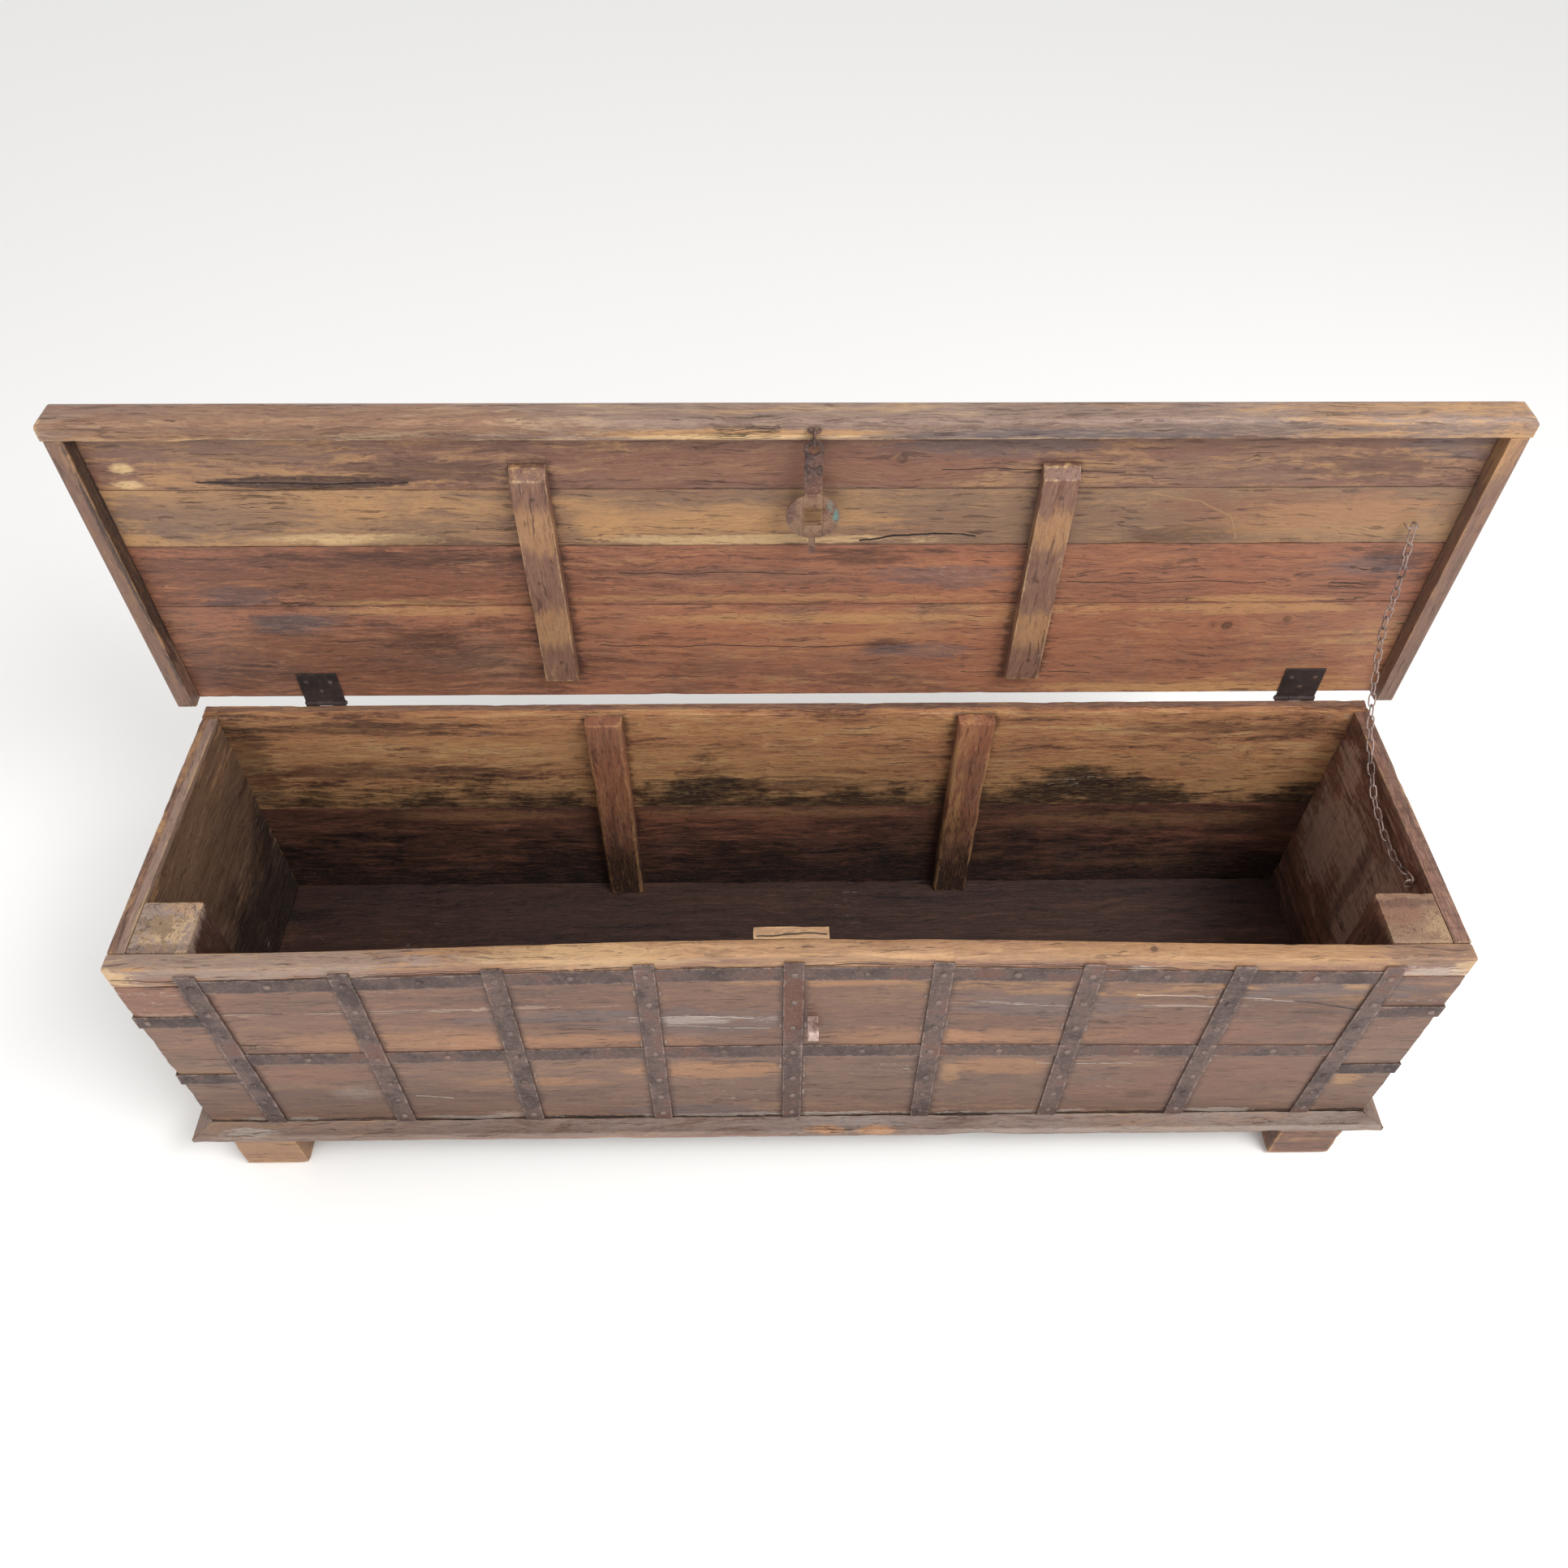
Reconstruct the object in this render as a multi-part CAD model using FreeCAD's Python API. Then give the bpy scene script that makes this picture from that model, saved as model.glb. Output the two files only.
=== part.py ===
"""Long reclaimed-hardwood storage chest with forged iron straps, hasp, chain stay and hinged cap lid.

Frame: X along the chest, Y from front to back, Z up.  The origin is on the floor, under the centre of
the box that holds the chest with its lid standing open.  All sizes are in millimetres.
"""
import FreeCAD
import Part
import math
import os

V = FreeCAD.Vector

# ---------------------------------------------------------------- case: driving dimensions
CASE_LENGTH = 1650.0
CASE_DEPTH = 435.0
CASE_HEIGHT = 418.0            # walls, from the underside of the floor to the rim
FRONT_THICKNESS = 24.0
BACK_THICKNESS = 22.0
END_THICKNESS = 22.0
FLOOR_THICKNESS = 18.0
FLOOR_BOARD_COUNT = 3
TOP_RAIL_HEIGHT = 40.0
FRONT_SEAM_RISE = 198.0        # seam between the two front boards, above the floor's underside
BACK_SEAM_RISE = 214.0
FRONT_BOW = 14.0               # how far age has pulled the middle of the rim inwards
BOW_END_GAP = 2.0              # from the outer straps' inner edges to where the bow begins

FOOT_HEIGHT = 86.0
FOOT_WIDTH = 90.0
FOOT_OUTER_INSET = 26.0        # from the end of the case to the foot's outer side
FOOT_FRONT_INSET = 5.0         # behind the front edge of the base moulding
FOOT_EDGE_ROUND = 8.0

MOULDING_HEIGHT = 18.0
MOULDING_PROJECTION = 24.0
MOULDING_NOSE = 5.0
MOULDING_COVE = 4.0
MOULDING_ARRIS = 1.5           # bevel along the bottom outer edge
COVE_MIDDLE = (0.45, 0.3)      # where the hollow's middle lies, as shares of its reach and height

POST_WIDTH = 74.0
POST_DEPTH = 75.0
POST_EDGE_ROUND = 4.0
BACK_CLEAT_WIDTH = 53.0
BACK_CLEAT_THICKNESS = 22.0
BACK_CLEAT_CENTRES = {"left": -262.0, "right": 265.0}
BACK_CLEAT_CHAMFER = 3.0
LOCK_BLOCK_WIDTH = 94.0
LOCK_BLOCK_HEIGHT = 120.0
LOCK_BLOCK_THICKNESS = 18.0
LOCK_BLOCK_CENTRE = -3.0

# ---------------------------------------------------------------- iron straps
STRAP_COUNT = 9
STRAP_END_INSET = 95.0         # end of the case to the middle of the outer upright straps
STRAP_PITCH = (CASE_LENGTH - 2 * STRAP_END_INSET) / (STRAP_COUNT - 1)
STRAP_WIDTH = 26.0
STRAP_THICKNESS = 3.0
STRAP_TOP_GAP = 14.0           # bare wood left above the upright straps
BAND_HEIGHT = 28.0
BAND_THICKNESS = 1.5
UPPER_BAND_DROP = 39.0         # rim to the middle of the upper band
CORNER_STRAP_HEIGHT = 26.0
CORNER_STRAP_THICKNESS = 2.0
CORNER_STRAP_RETURN = 92.0     # how far a corner strap runs back along the end wall
CORNER_STRAP_DROPS = {"upper": 121.0, "lower": 272.0}
END_STRAP_PLACES = (120.0, 340.0)
END_STRAP_THICKNESS = 2.0
RIVET_BASE_RADIUS = 5.0
RIVET_CROWN_RADIUS = 2.8
RIVET_HEIGHT = 1.8
RIVET_SIDES = 5
RIVET_FIRST_RISE = 18.0        # base moulding to the lowest rivet of an upright strap
RIVET_LOW_PITCH = 47.0
RIVET_HIGH_PITCH = 60.0
SEAT_GAP = 0.02                # between a flat rivet base and the slightly warped strap under it

# ---------------------------------------------------------------- lid
HINGE_BACK_OFFSET = 4.0        # hinge axis behind the back of the case
LID_BOARD_THICKNESS = 22.0
LID_RAIL_THICKNESS = 26.0
LID_END_CLEARANCE = 6.5        # ends of the case to the inner faces of the side rails
LID_FRONT_CLEARANCE = 9.0      # front of the case to the inner face of the front rail
LID_LENGTH = CASE_LENGTH + 2 * (LID_END_CLEARANCE + LID_RAIL_THICKNESS)
# Hinge axis to the outer face of the front rail.
LID_DEPTH = HINGE_BACK_OFFSET + CASE_DEPTH + LID_FRONT_CLEARANCE + LID_RAIL_THICKNESS
LID_RAIL_DROP = 21.0           # how far the rails reach below the boards
LID_REAR_GAP = 12.0            # hinge axis to the rear edge of the boards
LID_SIDE_REAR_GAP = 7.0
LID_SEAMS = (180.0, 279.0, 365.0)
LID_EDGE_ROUND = 8.0
LID_CORNER_ROUND = 11.0
LID_CLEAT_WIDTH = 45.0
LID_CLEAT_THICKNESS = 20.0
LID_CLEAT_REAR = 55.0
LID_CLEAT_FRONT_CLEARANCE = 3.0
LID_CLEAT_CHAMFER = 12.0
LID_CLEAT_REAR_CHAMFER = 4.0
LID_CLEAT_CENTRES = {"left": -313.0, "right": 321.0}
LID_OPEN_ANGLE = 90.0

# ---------------------------------------------------------------- butt hinges
HINGE_END_INSETS = {"left": 169.0, "right": 101.0}     # case ends to the leaves' middle lines
HINGE_CENTRES = {"left": HINGE_END_INSETS["left"] - CASE_LENGTH / 2,
                 "right": CASE_LENGTH / 2 - HINGE_END_INSETS["right"]}
HINGE_WIDTH = 56.0
HINGE_LEAF_LENGTH = 58.0
HINGE_LEAF_THICKNESS = 2.0
HINGE_LEAF_LIFT = 0.5          # air between the lid's leaf and the rim
HINGE_KNUCKLES = 3
KNUCKLE_RADIUS = 4.0
KNUCKLE_GAP = 0.4
HINGE_PIN_RADIUS = 1.6
HINGE_PIN_CLEARANCE = 0.05
HINGE_PIN_HEAD_RADIUS = 3.0
HINGE_PIN_CROWN_RADIUS = 2.2
HINGE_PIN_HEAD_LENGTH = 1.5
SCREW_HEAD_RADIUS = 3.6
SCREW_CROWN_RADIUS = 2.2
SCREW_HEAD_PROUD = 0.4         # less than the air between the lid's leaf and the rim
SCREW_SHANK_RADIUS = 1.8
SCREW_SHANK_LENGTH = 13.0
SCREW_HOLE_CLEARANCE = 0.1
SCREW_HOLE_DEPTH_SPARE = 1.0
SCREW_SPREAD_SHARE = 0.3       # outer screws to the leaf's middle line, as a share of its width
SCREW_DROP_SHARES = (0.72, 0.42, 0.72)     # axis to each screw, as a share of the leaf's length
CUT_SPARE = 1.0                # how far a cutting shape runs past the plate it cuts

# ---------------------------------------------------------------- hasp
HASP_X = 25.0
HASP_STAPLE_FROM_EDGE = 10.0   # outer face of the lid's front rail to the hasp staple
HASP_STAPLE_FROM_AXIS = LID_DEPTH - HASP_STAPLE_FROM_EDGE
HASP_STAPLE_REACH = 9.0        # rail to the middle of the staple's cross wire
HASP_STAPLE_SPREAD = 13.0
HASP_WIRE_RADIUS = 2.0
HASP_LINK_INNER_LENGTH = 19.0
HASP_LINK_INNER_WIDTH = 9.0
HASP_LINK_WIRE_RADIUS = 1.8
HASP_PLATE_THICKNESS = 3.6
HASP_EYE_RADIUS = 12.5
HASP_EYE_HOLE_RADIUS = 6.6
HASP_EYE_TO_DISC = 95.0
HASP_SHANK_WIDTH = 22.0
HASP_DISC_RADIUS = 32.5
HASP_SLOT_WIDTH = 20.0
HASP_SLOT_HEIGHT = 24.0
HASP_TONGUE_WIDTH = 8.5
HASP_TONGUE_LENGTH = 23.0      # below the disc
HASP_PLAY = 0.4
CATCH_WIDTH = 14.0
CATCH_HEIGHT = 18.0
CATCH_BAND = 3.0
CATCH_TO_HASP_GAP = 2.5        # tip of the catch to the hasp plate hanging in front of it

# ---------------------------------------------------------------- chain stay
CHAIN_LINK_INNER_LENGTH = 16.2
CHAIN_LINK_INNER_WIDTH = 6.3
CHAIN_WIRE_RADIUS = 1.2
CHAIN_PLAY = 0.5               # slack between two links that hang in each other
CHAIN_LINKS_PER_LENGTH = 3
CHAIN_RING_INNER_LENGTH = 27.6
CHAIN_RING_INNER_WIDTH = 9.2
CHAIN_RING_SLACK = 5.4         # from the lid staple's wire to the far end of the ring
CHAIN_STAPLE_WIRE_RADIUS = 1.5
CHAIN_STAPLE_SPREAD = 15.0
WALL_STAPLE_FROM_FRONT = 134.0
WALL_STAPLE_DROP = 22.0        # rim to the leg that carries the chain
WALL_STAPLE_REACH = 13.0       # out of the end wall
WALL_CHAIN_OFFSET = 6.0        # end wall to the first link's middle plane
LID_STAPLE_FROM_AXIS = 312.0
LID_STAPLE_REACH = 13.0
LID_STAPLE_FROM_END_WALL = 31.0
LID_STAPLE_X = CASE_LENGTH / 2 - END_THICKNESS - LID_STAPLE_FROM_END_WALL
# The chain's slope at rest, one whole degree value for each three-link length, wall end first.
CHAIN_SLOPES = (-19, 6, 18, 37, 47, 56, 64, 68, 85, 80, 72)

WIRE_SIDES = 6
STAPLE_CORNER_SHARE = 0.35     # part of a staple's shorter side that its bend takes up
LINK_BEND_CHORDS = 5
RING_BEND_CHORDS = 7
SCREW_SIDES = 8

# ---------------------------------------------------------------- places worked out from the sizes
HALF_LENGTH = CASE_LENGTH / 2
INNER_HALF_LENGTH = HALF_LENGTH - END_THICKNESS
REST_DEPTH = MOULDING_PROJECTION + CASE_DEPTH + HINGE_BACK_OFFSET + LID_BOARD_THICKNESS \
    + HINGE_LEAF_THICKNESS / 2
FRONT_Y = MOULDING_PROJECTION - REST_DEPTH / 2
BACK_Y = FRONT_Y + CASE_DEPTH
INNER_FRONT_Y = FRONT_Y + FRONT_THICKNESS
INNER_BACK_Y = BACK_Y - BACK_THICKNESS
BASE_Z = FOOT_HEIGHT
FLOOR_TOP_Z = BASE_Z + FLOOR_THICKNESS
MOULDING_TOP_Z = BASE_Z + MOULDING_HEIGHT
RIM_Z = BASE_Z + CASE_HEIGHT
FRONT_SEAM_Z = BASE_Z + FRONT_SEAM_RISE
TOP_RAIL_Z = RIM_Z - TOP_RAIL_HEIGHT
OUTER_STRAP_X = STRAP_PITCH * (STRAP_COUNT - 1) / 2
BOW_HALF = OUTER_STRAP_X - STRAP_WIDTH / 2 - BOW_END_GAP
UPPER_BAND_Z = RIM_Z - UPPER_BAND_DROP
MIDDLE_BAND_Z = FRONT_SEAM_Z
STRAP_TOP_Z = RIM_Z - STRAP_TOP_GAP

HINGE_Y = BACK_Y + HINGE_BACK_OFFSET
HINGE_Z = RIM_Z + HINGE_LEAF_LIFT + HINGE_LEAF_THICKNESS / 2
LID_UNDER_Z = HINGE_Z + HINGE_LEAF_THICKNESS / 2       # underside of the boards, lid shut
LID_TOP_Z = LID_UNDER_Z + LID_BOARD_THICKNESS
LID_RAIL_LOW_Z = LID_UNDER_Z - LID_RAIL_DROP
LINK_END = CHAIN_LINK_INNER_LENGTH / 2 + CHAIN_WIRE_RADIUS     # a link's middle to its end wire
CHAIN_PITCH = CHAIN_LINK_INNER_LENGTH - CHAIN_PLAY             # middle to middle of two links
LID_HALF = LID_LENGTH / 2
LID_INNER_HALF = LID_HALF - LID_RAIL_THICKNESS


# ================================================================ general shapes
def box(x0, x1, y0, y1, z0, z1):
    return Part.makeBox(x1 - x0, y1 - y0, z1 - z0, V(x0, y0, z0))


def edges_where(shape, test):
    """Edges whose two end points both pass the test."""
    return [e for e in shape.Edges if all(test(v.Point) for v in e.Vertexes)]


def extrude(points, direction):
    return Part.Face(Part.makePolygon(points + points[:1])).extrude(direction)


def cylinder_x(x0, x1, y, z, radius):
    return Part.makeCylinder(radius, x1 - x0, V(x0, y, z), V(1, 0, 0))


def tapered_prism(base, direction, base_radius, end_radius, length, sides):
    """A small round rod, hole or head drawn with a few flat sides."""
    side = direction.cross(V(0, 0, 1) if abs(direction.z) < 0.5 else V(1, 0, 0)).normalize()
    up = side.cross(direction)
    rings = []
    for radius, centre in ((base_radius, base), (end_radius, base + direction * length)):
        points = []
        for k in range(sides):
            angle = 2 * math.pi * (k + 0.5) / sides
            points.append(centre + side * (radius * math.cos(angle))
                          + up * (radius * math.sin(angle)))
        rings.append(Part.makePolygon(points + points[:1]))
    return Part.makeLoft(rings, True, True)


def fused(shapes):
    whole = shapes[0].multiFuse(shapes[1:]).removeSplitter()
    return whole.Solids[0] if len(whole.Solids) == 1 else whole


def group(solids):
    return Part.makeCompound(solids)


def opened(shape):
    """A lid piece drawn with the lid shut, turned about the hinge axis to where it stands open."""
    turned = shape.copy()
    turned.rotate(V(0, HINGE_Y, HINGE_Z), V(1, 0, 0), -LID_OPEN_ANGLE)
    return turned


def opened_point(y, z):
    """Y and Z of a point of the shut lid, once the lid stands open."""
    angle = math.radians(-LID_OPEN_ANGLE)
    dy, dz = y - HINGE_Y, z - HINGE_Z
    return (HINGE_Y + dy * math.cos(angle) - dz * math.sin(angle),
            HINGE_Z + dy * math.sin(angle) + dz * math.cos(angle))


def wire_ring(centre, tangent_in, tangent_out, normal, radius):
    """Corner points of a round wire's section on the mitre between two straight runs."""
    along = (tangent_in + tangent_out).normalize()
    side = normal.cross(along).normalize()
    stretch = 1.0 / math.cos(tangent_in.getAngle(tangent_out) / 2)
    ring = []
    for k in range(WIRE_SIDES):
        angle = 2 * math.pi * (k + 0.5) / WIRE_SIDES
        ring.append(centre + side * (radius * stretch * math.cos(angle))
                    + normal * (radius * math.sin(angle)))
    return ring


def bent_wire(points, normal, radius, closed):
    """A wire of round section along straight runs in one plane, mitred at each bend."""
    count = len(points)
    runs = [(points[(i + 1) % count] - points[i]).normalize() for i in range(count)]
    rings = []
    for i in range(count):
        before = runs[i - 1] if closed or i > 0 else runs[i]
        after = runs[i] if closed or i < count - 1 else runs[i - 1]
        rings.append(wire_ring(points[i], before, after, normal, radius))
    faces = []
    for i in range(count if closed else count - 1):
        a, b = rings[i], rings[(i + 1) % count]
        for k in range(WIRE_SIDES):
            n = (k + 1) % WIRE_SIDES
            faces.append(Part.Face(Part.makePolygon([a[k], a[n], b[n], b[k], a[k]])))
    if not closed:
        faces += [Part.Face(Part.makePolygon(r + r[:1])) for r in (rings[0], rings[-1])]
    solid = Part.Solid(Part.Shell(faces))
    if solid.Volume < 0:
        solid.reverse()            # the faces must look outwards
    return solid


def oval_link(centre, along, across, inner_length, inner_width, wire_radius, chords):
    """A closed oval link: two straight legs, and two ends bent round in an odd number of chords.

    The middle chord of an end lies square across it, as far out as the round end would reach.
    """
    half_width = inner_width / 2 + wire_radius
    straight = inner_length / 2 + wire_radius - half_width
    bend_reach = half_width / math.cos(math.pi / (2 * chords))
    points = []
    for end in (1, -1):
        for k in range(chords + 1):
            angle = math.pi * k / chords
            points.append(centre + along * (end * (straight + bend_reach * math.sin(angle)))
                          + across * (end * half_width * math.cos(angle)))
    return bent_wire(points, along.cross(across), wire_radius, closed=True)


def staple(root, reach_dir, spread_dir, reach, spread, wire_radius):
    """A U of wire: two legs out of a surface at root, joined by a cross wire at the given reach."""
    half = spread / 2
    corner = min(half, reach) * STAPLE_CORNER_SHARE
    out, side = reach_dir * reach, spread_dir * half
    points = [root - side,
              root - side + reach_dir * (reach - corner),
              root - spread_dir * (half - corner) + out,
              root + spread_dir * (half - corner) + out,
              root + side + reach_dir * (reach - corner),
              root + side]
    return bent_wire(points, reach_dir.cross(spread_dir).normalize(), wire_radius, closed=False)


# ================================================================ the bowed front
def bow_depth(z):
    """Inward pull at the middle of the front, growing from the base moulding to the rim."""
    return FRONT_BOW * max(0.0, z - MOULDING_TOP_Z) / (RIM_Z - MOULDING_TOP_Z)


def bow_shape(x):
    """1 in the middle, falling smoothly to 0 in value and slope at the corner posts."""
    return (1 - (x / BOW_HALF) ** 2) ** 2 if abs(x) < BOW_HALF else 0.0


def front_y(x, z):
    return FRONT_Y + bow_depth(z) * bow_shape(x)


def front_normal(x, z):
    """Outward direction of the front's surface."""
    step = 0.5
    slope_x = (front_y(x + step, z) - front_y(x - step, z)) / (2 * step)
    slope_z = (front_y(x, z + step) - front_y(x, z - step)) / (2 * step)
    return V(slope_x, -1, slope_z).normalize()


def front_line(x0, x1, z, offset):
    """Edges of the front's plan line at one height, from x0 to x1, moved by offset along Y.

    The bow is a Bezier curve of five poles, whose middle pole stands 8/3 as far in as the curve.
    """
    rise = bow_depth(z) * 8.0 / 3.0
    poles = [V(BOW_HALF * (k / 2 - 1), FRONT_Y + offset + (rise if k == 2 else 0.0), z)
             for k in range(5)]
    curve = Part.BezierCurve()
    curve.setPoles(poles)
    edges = []
    if x0 < -BOW_HALF:
        edges.append(Part.makeLine(V(x0, FRONT_Y + offset, z), poles[0]))
    low, high = max(x0, -BOW_HALF), min(x1, BOW_HALF)
    if low < high:
        curve.segment((low + BOW_HALF) / (2 * BOW_HALF), (high + BOW_HALF) / (2 * BOW_HALF))
        edges.append(curve.toShape())
    if x1 > BOW_HALF:
        edges.append(Part.makeLine(poles[-1], V(x1, FRONT_Y + offset, z)))
    if abs(x0) >= BOW_HALF and abs(x1) >= BOW_HALF and x0 * x1 > 0:
        edges = [Part.makeLine(V(x0, FRONT_Y + offset, z), V(x1, FRONT_Y + offset, z))]
    return edges


def front_layer(x0, x1, heights, outer, inner):
    """A board or strap that follows the bowed front between two offsets from its surface."""
    sections = []
    for z in heights:
        front = front_line(x0, x1, z, outer)
        back = front_line(x0, x1, z, inner)
        right = Part.makeLine(front[-1].Vertexes[-1].Point, back[-1].Vertexes[-1].Point)
        left = Part.makeLine(back[0].Vertexes[0].Point, front[0].Vertexes[0].Point)
        sections.append(Part.Wire(Part.__sortEdges__(front + [right] + back + [left])))
    return Part.makeLoft(sections, True, True)


# ================================================================ wooden case
def front_boards():
    full = (-HALF_LENGTH, HALF_LENGTH)
    return {
        "front_board_lower": front_layer(*full, (BASE_Z, MOULDING_TOP_Z, FRONT_SEAM_Z),
                                         0, FRONT_THICKNESS),
        "front_board_upper": front_layer(*full, (FRONT_SEAM_Z, TOP_RAIL_Z), 0, FRONT_THICKNESS),
        "front_top_rail": front_layer(*full, (TOP_RAIL_Z, RIM_Z), 0, FRONT_THICKNESS),
    }


def back_and_end_boards():
    seam = BASE_Z + BACK_SEAM_RISE
    screws = screw_holes([case_screw_place(side, k) for side in HINGE_CENTRES for k in range(3)],
                         V(0, -1, 0))
    back_upper = box(-HALF_LENGTH, HALF_LENGTH, INNER_BACK_Y, BACK_Y, seam, RIM_Z)
    parts = {
        "back_board_lower": box(-HALF_LENGTH, HALF_LENGTH, INNER_BACK_Y, BACK_Y, BASE_Z, seam),
        "back_board_upper": back_upper.cut(screws),
    }
    for side, sign in (("left", -1), ("right", 1)):
        x0, x1 = sorted((sign * INNER_HALF_LENGTH, sign * HALF_LENGTH))
        parts["end_wall_" + side] = box(x0, x1, INNER_FRONT_Y, INNER_BACK_Y, BASE_Z, RIM_Z)
    return parts


def floor_boards():
    width = (INNER_BACK_Y - INNER_FRONT_Y) / FLOOR_BOARD_COUNT
    boards = []
    for k in range(FLOOR_BOARD_COUNT):
        y0 = INNER_FRONT_Y + k * width
        boards.append(box(-INNER_HALF_LENGTH, INNER_HALF_LENGTH, y0, y0 + width,
                          BASE_Z, FLOOR_TOP_Z))
    return {"floor_boards": group(boards)}


def posts_and_cleats():
    parts = {}
    for side, sign in (("left", -1), ("right", 1)):
        inner_x = sign * (INNER_HALF_LENGTH - POST_WIDTH)
        x0, x1 = sorted((inner_x, sign * INNER_HALF_LENGTH))
        y1 = INNER_FRONT_Y + POST_DEPTH
        post = box(x0, x1, INNER_FRONT_Y, y1, FLOOR_TOP_Z, RIM_Z)
        corner = edges_where(post, lambda p: abs(p.x - inner_x) < 0.1 and abs(p.y - y1) < 0.1)
        parts["corner_post_" + side] = post.makeFillet(POST_EDGE_ROUND, corner)
        centre = BACK_CLEAT_CENTRES[side]
        y0 = INNER_BACK_Y - BACK_CLEAT_THICKNESS
        half, c = BACK_CLEAT_WIDTH / 2, BACK_CLEAT_CHAMFER
        plan = [V(centre - half, INNER_BACK_Y, FLOOR_TOP_Z), V(centre - half, y0 + c, FLOOR_TOP_Z),
                V(centre - half + c, y0, FLOOR_TOP_Z), V(centre + half - c, y0, FLOOR_TOP_Z),
                V(centre + half, y0 + c, FLOOR_TOP_Z), V(centre + half, INNER_BACK_Y, FLOOR_TOP_Z)]
        parts["back_cleat_" + side] = extrude(plan, V(0, 0, RIM_Z - FLOOR_TOP_Z))
    parts["lock_block"] = front_layer(
        LOCK_BLOCK_CENTRE - LOCK_BLOCK_WIDTH / 2, LOCK_BLOCK_CENTRE + LOCK_BLOCK_WIDTH / 2,
        (RIM_Z - LOCK_BLOCK_HEIGHT, RIM_Z), FRONT_THICKNESS,
        FRONT_THICKNESS + LOCK_BLOCK_THICKNESS)
    return parts


def moulding_profile(place):
    """Base moulding section; place(outward, height) puts a point of it in space."""
    p, h, nose, cove = MOULDING_PROJECTION, MOULDING_HEIGHT, MOULDING_NOSE, MOULDING_COVE
    arris = MOULDING_ARRIS
    cove_middle = ((p - nose) * COVE_MIDDLE[0], h - cove + cove * COVE_MIDDLE[1])
    shoulder = h - cove
    bend = nose * (1 - math.sqrt(0.5))
    edges = [
        Part.makeLine(place(0, 0), place(p - arris, 0)),
        Part.makeLine(place(p - arris, 0), place(p, arris)),
        Part.makeLine(place(p, arris), place(p, shoulder - nose)),
        Part.Arc(place(p, shoulder - nose), place(p - bend, shoulder - bend),
                 place(p - nose, shoulder)).toShape(),
        Part.Arc(place(p - nose, shoulder), place(*cove_middle), place(0, h)).toShape(),
        Part.makeLine(place(0, h), place(0, 0)),
    ]
    return Part.Face(Part.Wire(edges))


def base_mouldings():
    p, x, front, back = MOULDING_PROJECTION, HALF_LENGTH, FRONT_Y, BACK_Y
    up = V(0, 0, MOULDING_HEIGHT)
    run = moulding_profile(lambda u, z: V(-x - p, front - u, BASE_Z + z)).extrude(
        V(2 * (x + p), 0, 0))
    plan = [V(-x - p, front - p, BASE_Z), V(x + p, front - p, BASE_Z),
            V(x, front, BASE_Z), V(-x, front, BASE_Z)]
    parts = {"base_moulding_front": run.common(extrude(plan, up))}
    for side, sign in (("left", -1), ("right", 1)):
        run = moulding_profile(lambda u, z: V(sign * (x + u), front - p, BASE_Z + z)).extrude(
            V(0, back - front + p, 0))
        plan = [V(sign * x, front, BASE_Z), V(sign * (x + p), front - p, BASE_Z),
                V(sign * (x + p), back, BASE_Z), V(sign * x, back, BASE_Z)]
        parts["base_moulding_" + side] = run.common(extrude(plan, up))
    return parts


def feet():
    parts = {}
    front = FRONT_Y - MOULDING_PROJECTION + FOOT_FRONT_INSET
    rows = {"front": front, "rear": BACK_Y - FOOT_WIDTH}
    for side, sign in (("left", -1), ("right", 1)):
        outer = sign * (HALF_LENGTH - FOOT_OUTER_INSET)
        x0, x1 = sorted((outer, outer - sign * FOOT_WIDTH))
        for row, y0 in rows.items():
            foot = box(x0, x1, y0, y0 + FOOT_WIDTH, 0, BASE_Z)
            rounded = edges_where(foot, lambda p: p.z < 0.1)
            parts["foot_%s_%s" % (row, side)] = foot.makeFillet(FOOT_EDGE_ROUND, rounded)
    return parts


# ================================================================ ironwork of the case
def strap_centres():
    return [STRAP_PITCH * (k - (STRAP_COUNT - 1) / 2) for k in range(STRAP_COUNT)]


def upright_straps():
    """Upright straps, each stepped over the two bands that run behind it."""
    half, h = STRAP_WIDTH / 2, BAND_HEIGHT / 2
    under = [(MOULDING_TOP_Z, MIDDLE_BAND_Z - h, 0), (MIDDLE_BAND_Z - h, MIDDLE_BAND_Z + h, 1),
             (MIDDLE_BAND_Z + h, UPPER_BAND_Z - h, 0), (UPPER_BAND_Z - h, UPPER_BAND_Z + h, 1),
             (UPPER_BAND_Z + h, STRAP_TOP_Z, 0)]
    straps = []
    for x in strap_centres():
        lengths = [front_layer(x - half, x + half, (z0, z1), -STRAP_THICKNESS,
                               -BAND_THICKNESS * over_band) for z0, z1, over_band in under]
        straps.append(fused(lengths))
    return {"front_upright_straps": group(straps)}


def front_bands():
    reach, h = OUTER_STRAP_X + STRAP_WIDTH / 2, BAND_HEIGHT / 2
    bands = [front_layer(-reach, reach, (z - h, z + h), -BAND_THICKNESS, 0)
             for z in (MIDDLE_BAND_Z, UPPER_BAND_Z)]
    return {"front_bands": group(bands)}


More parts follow.
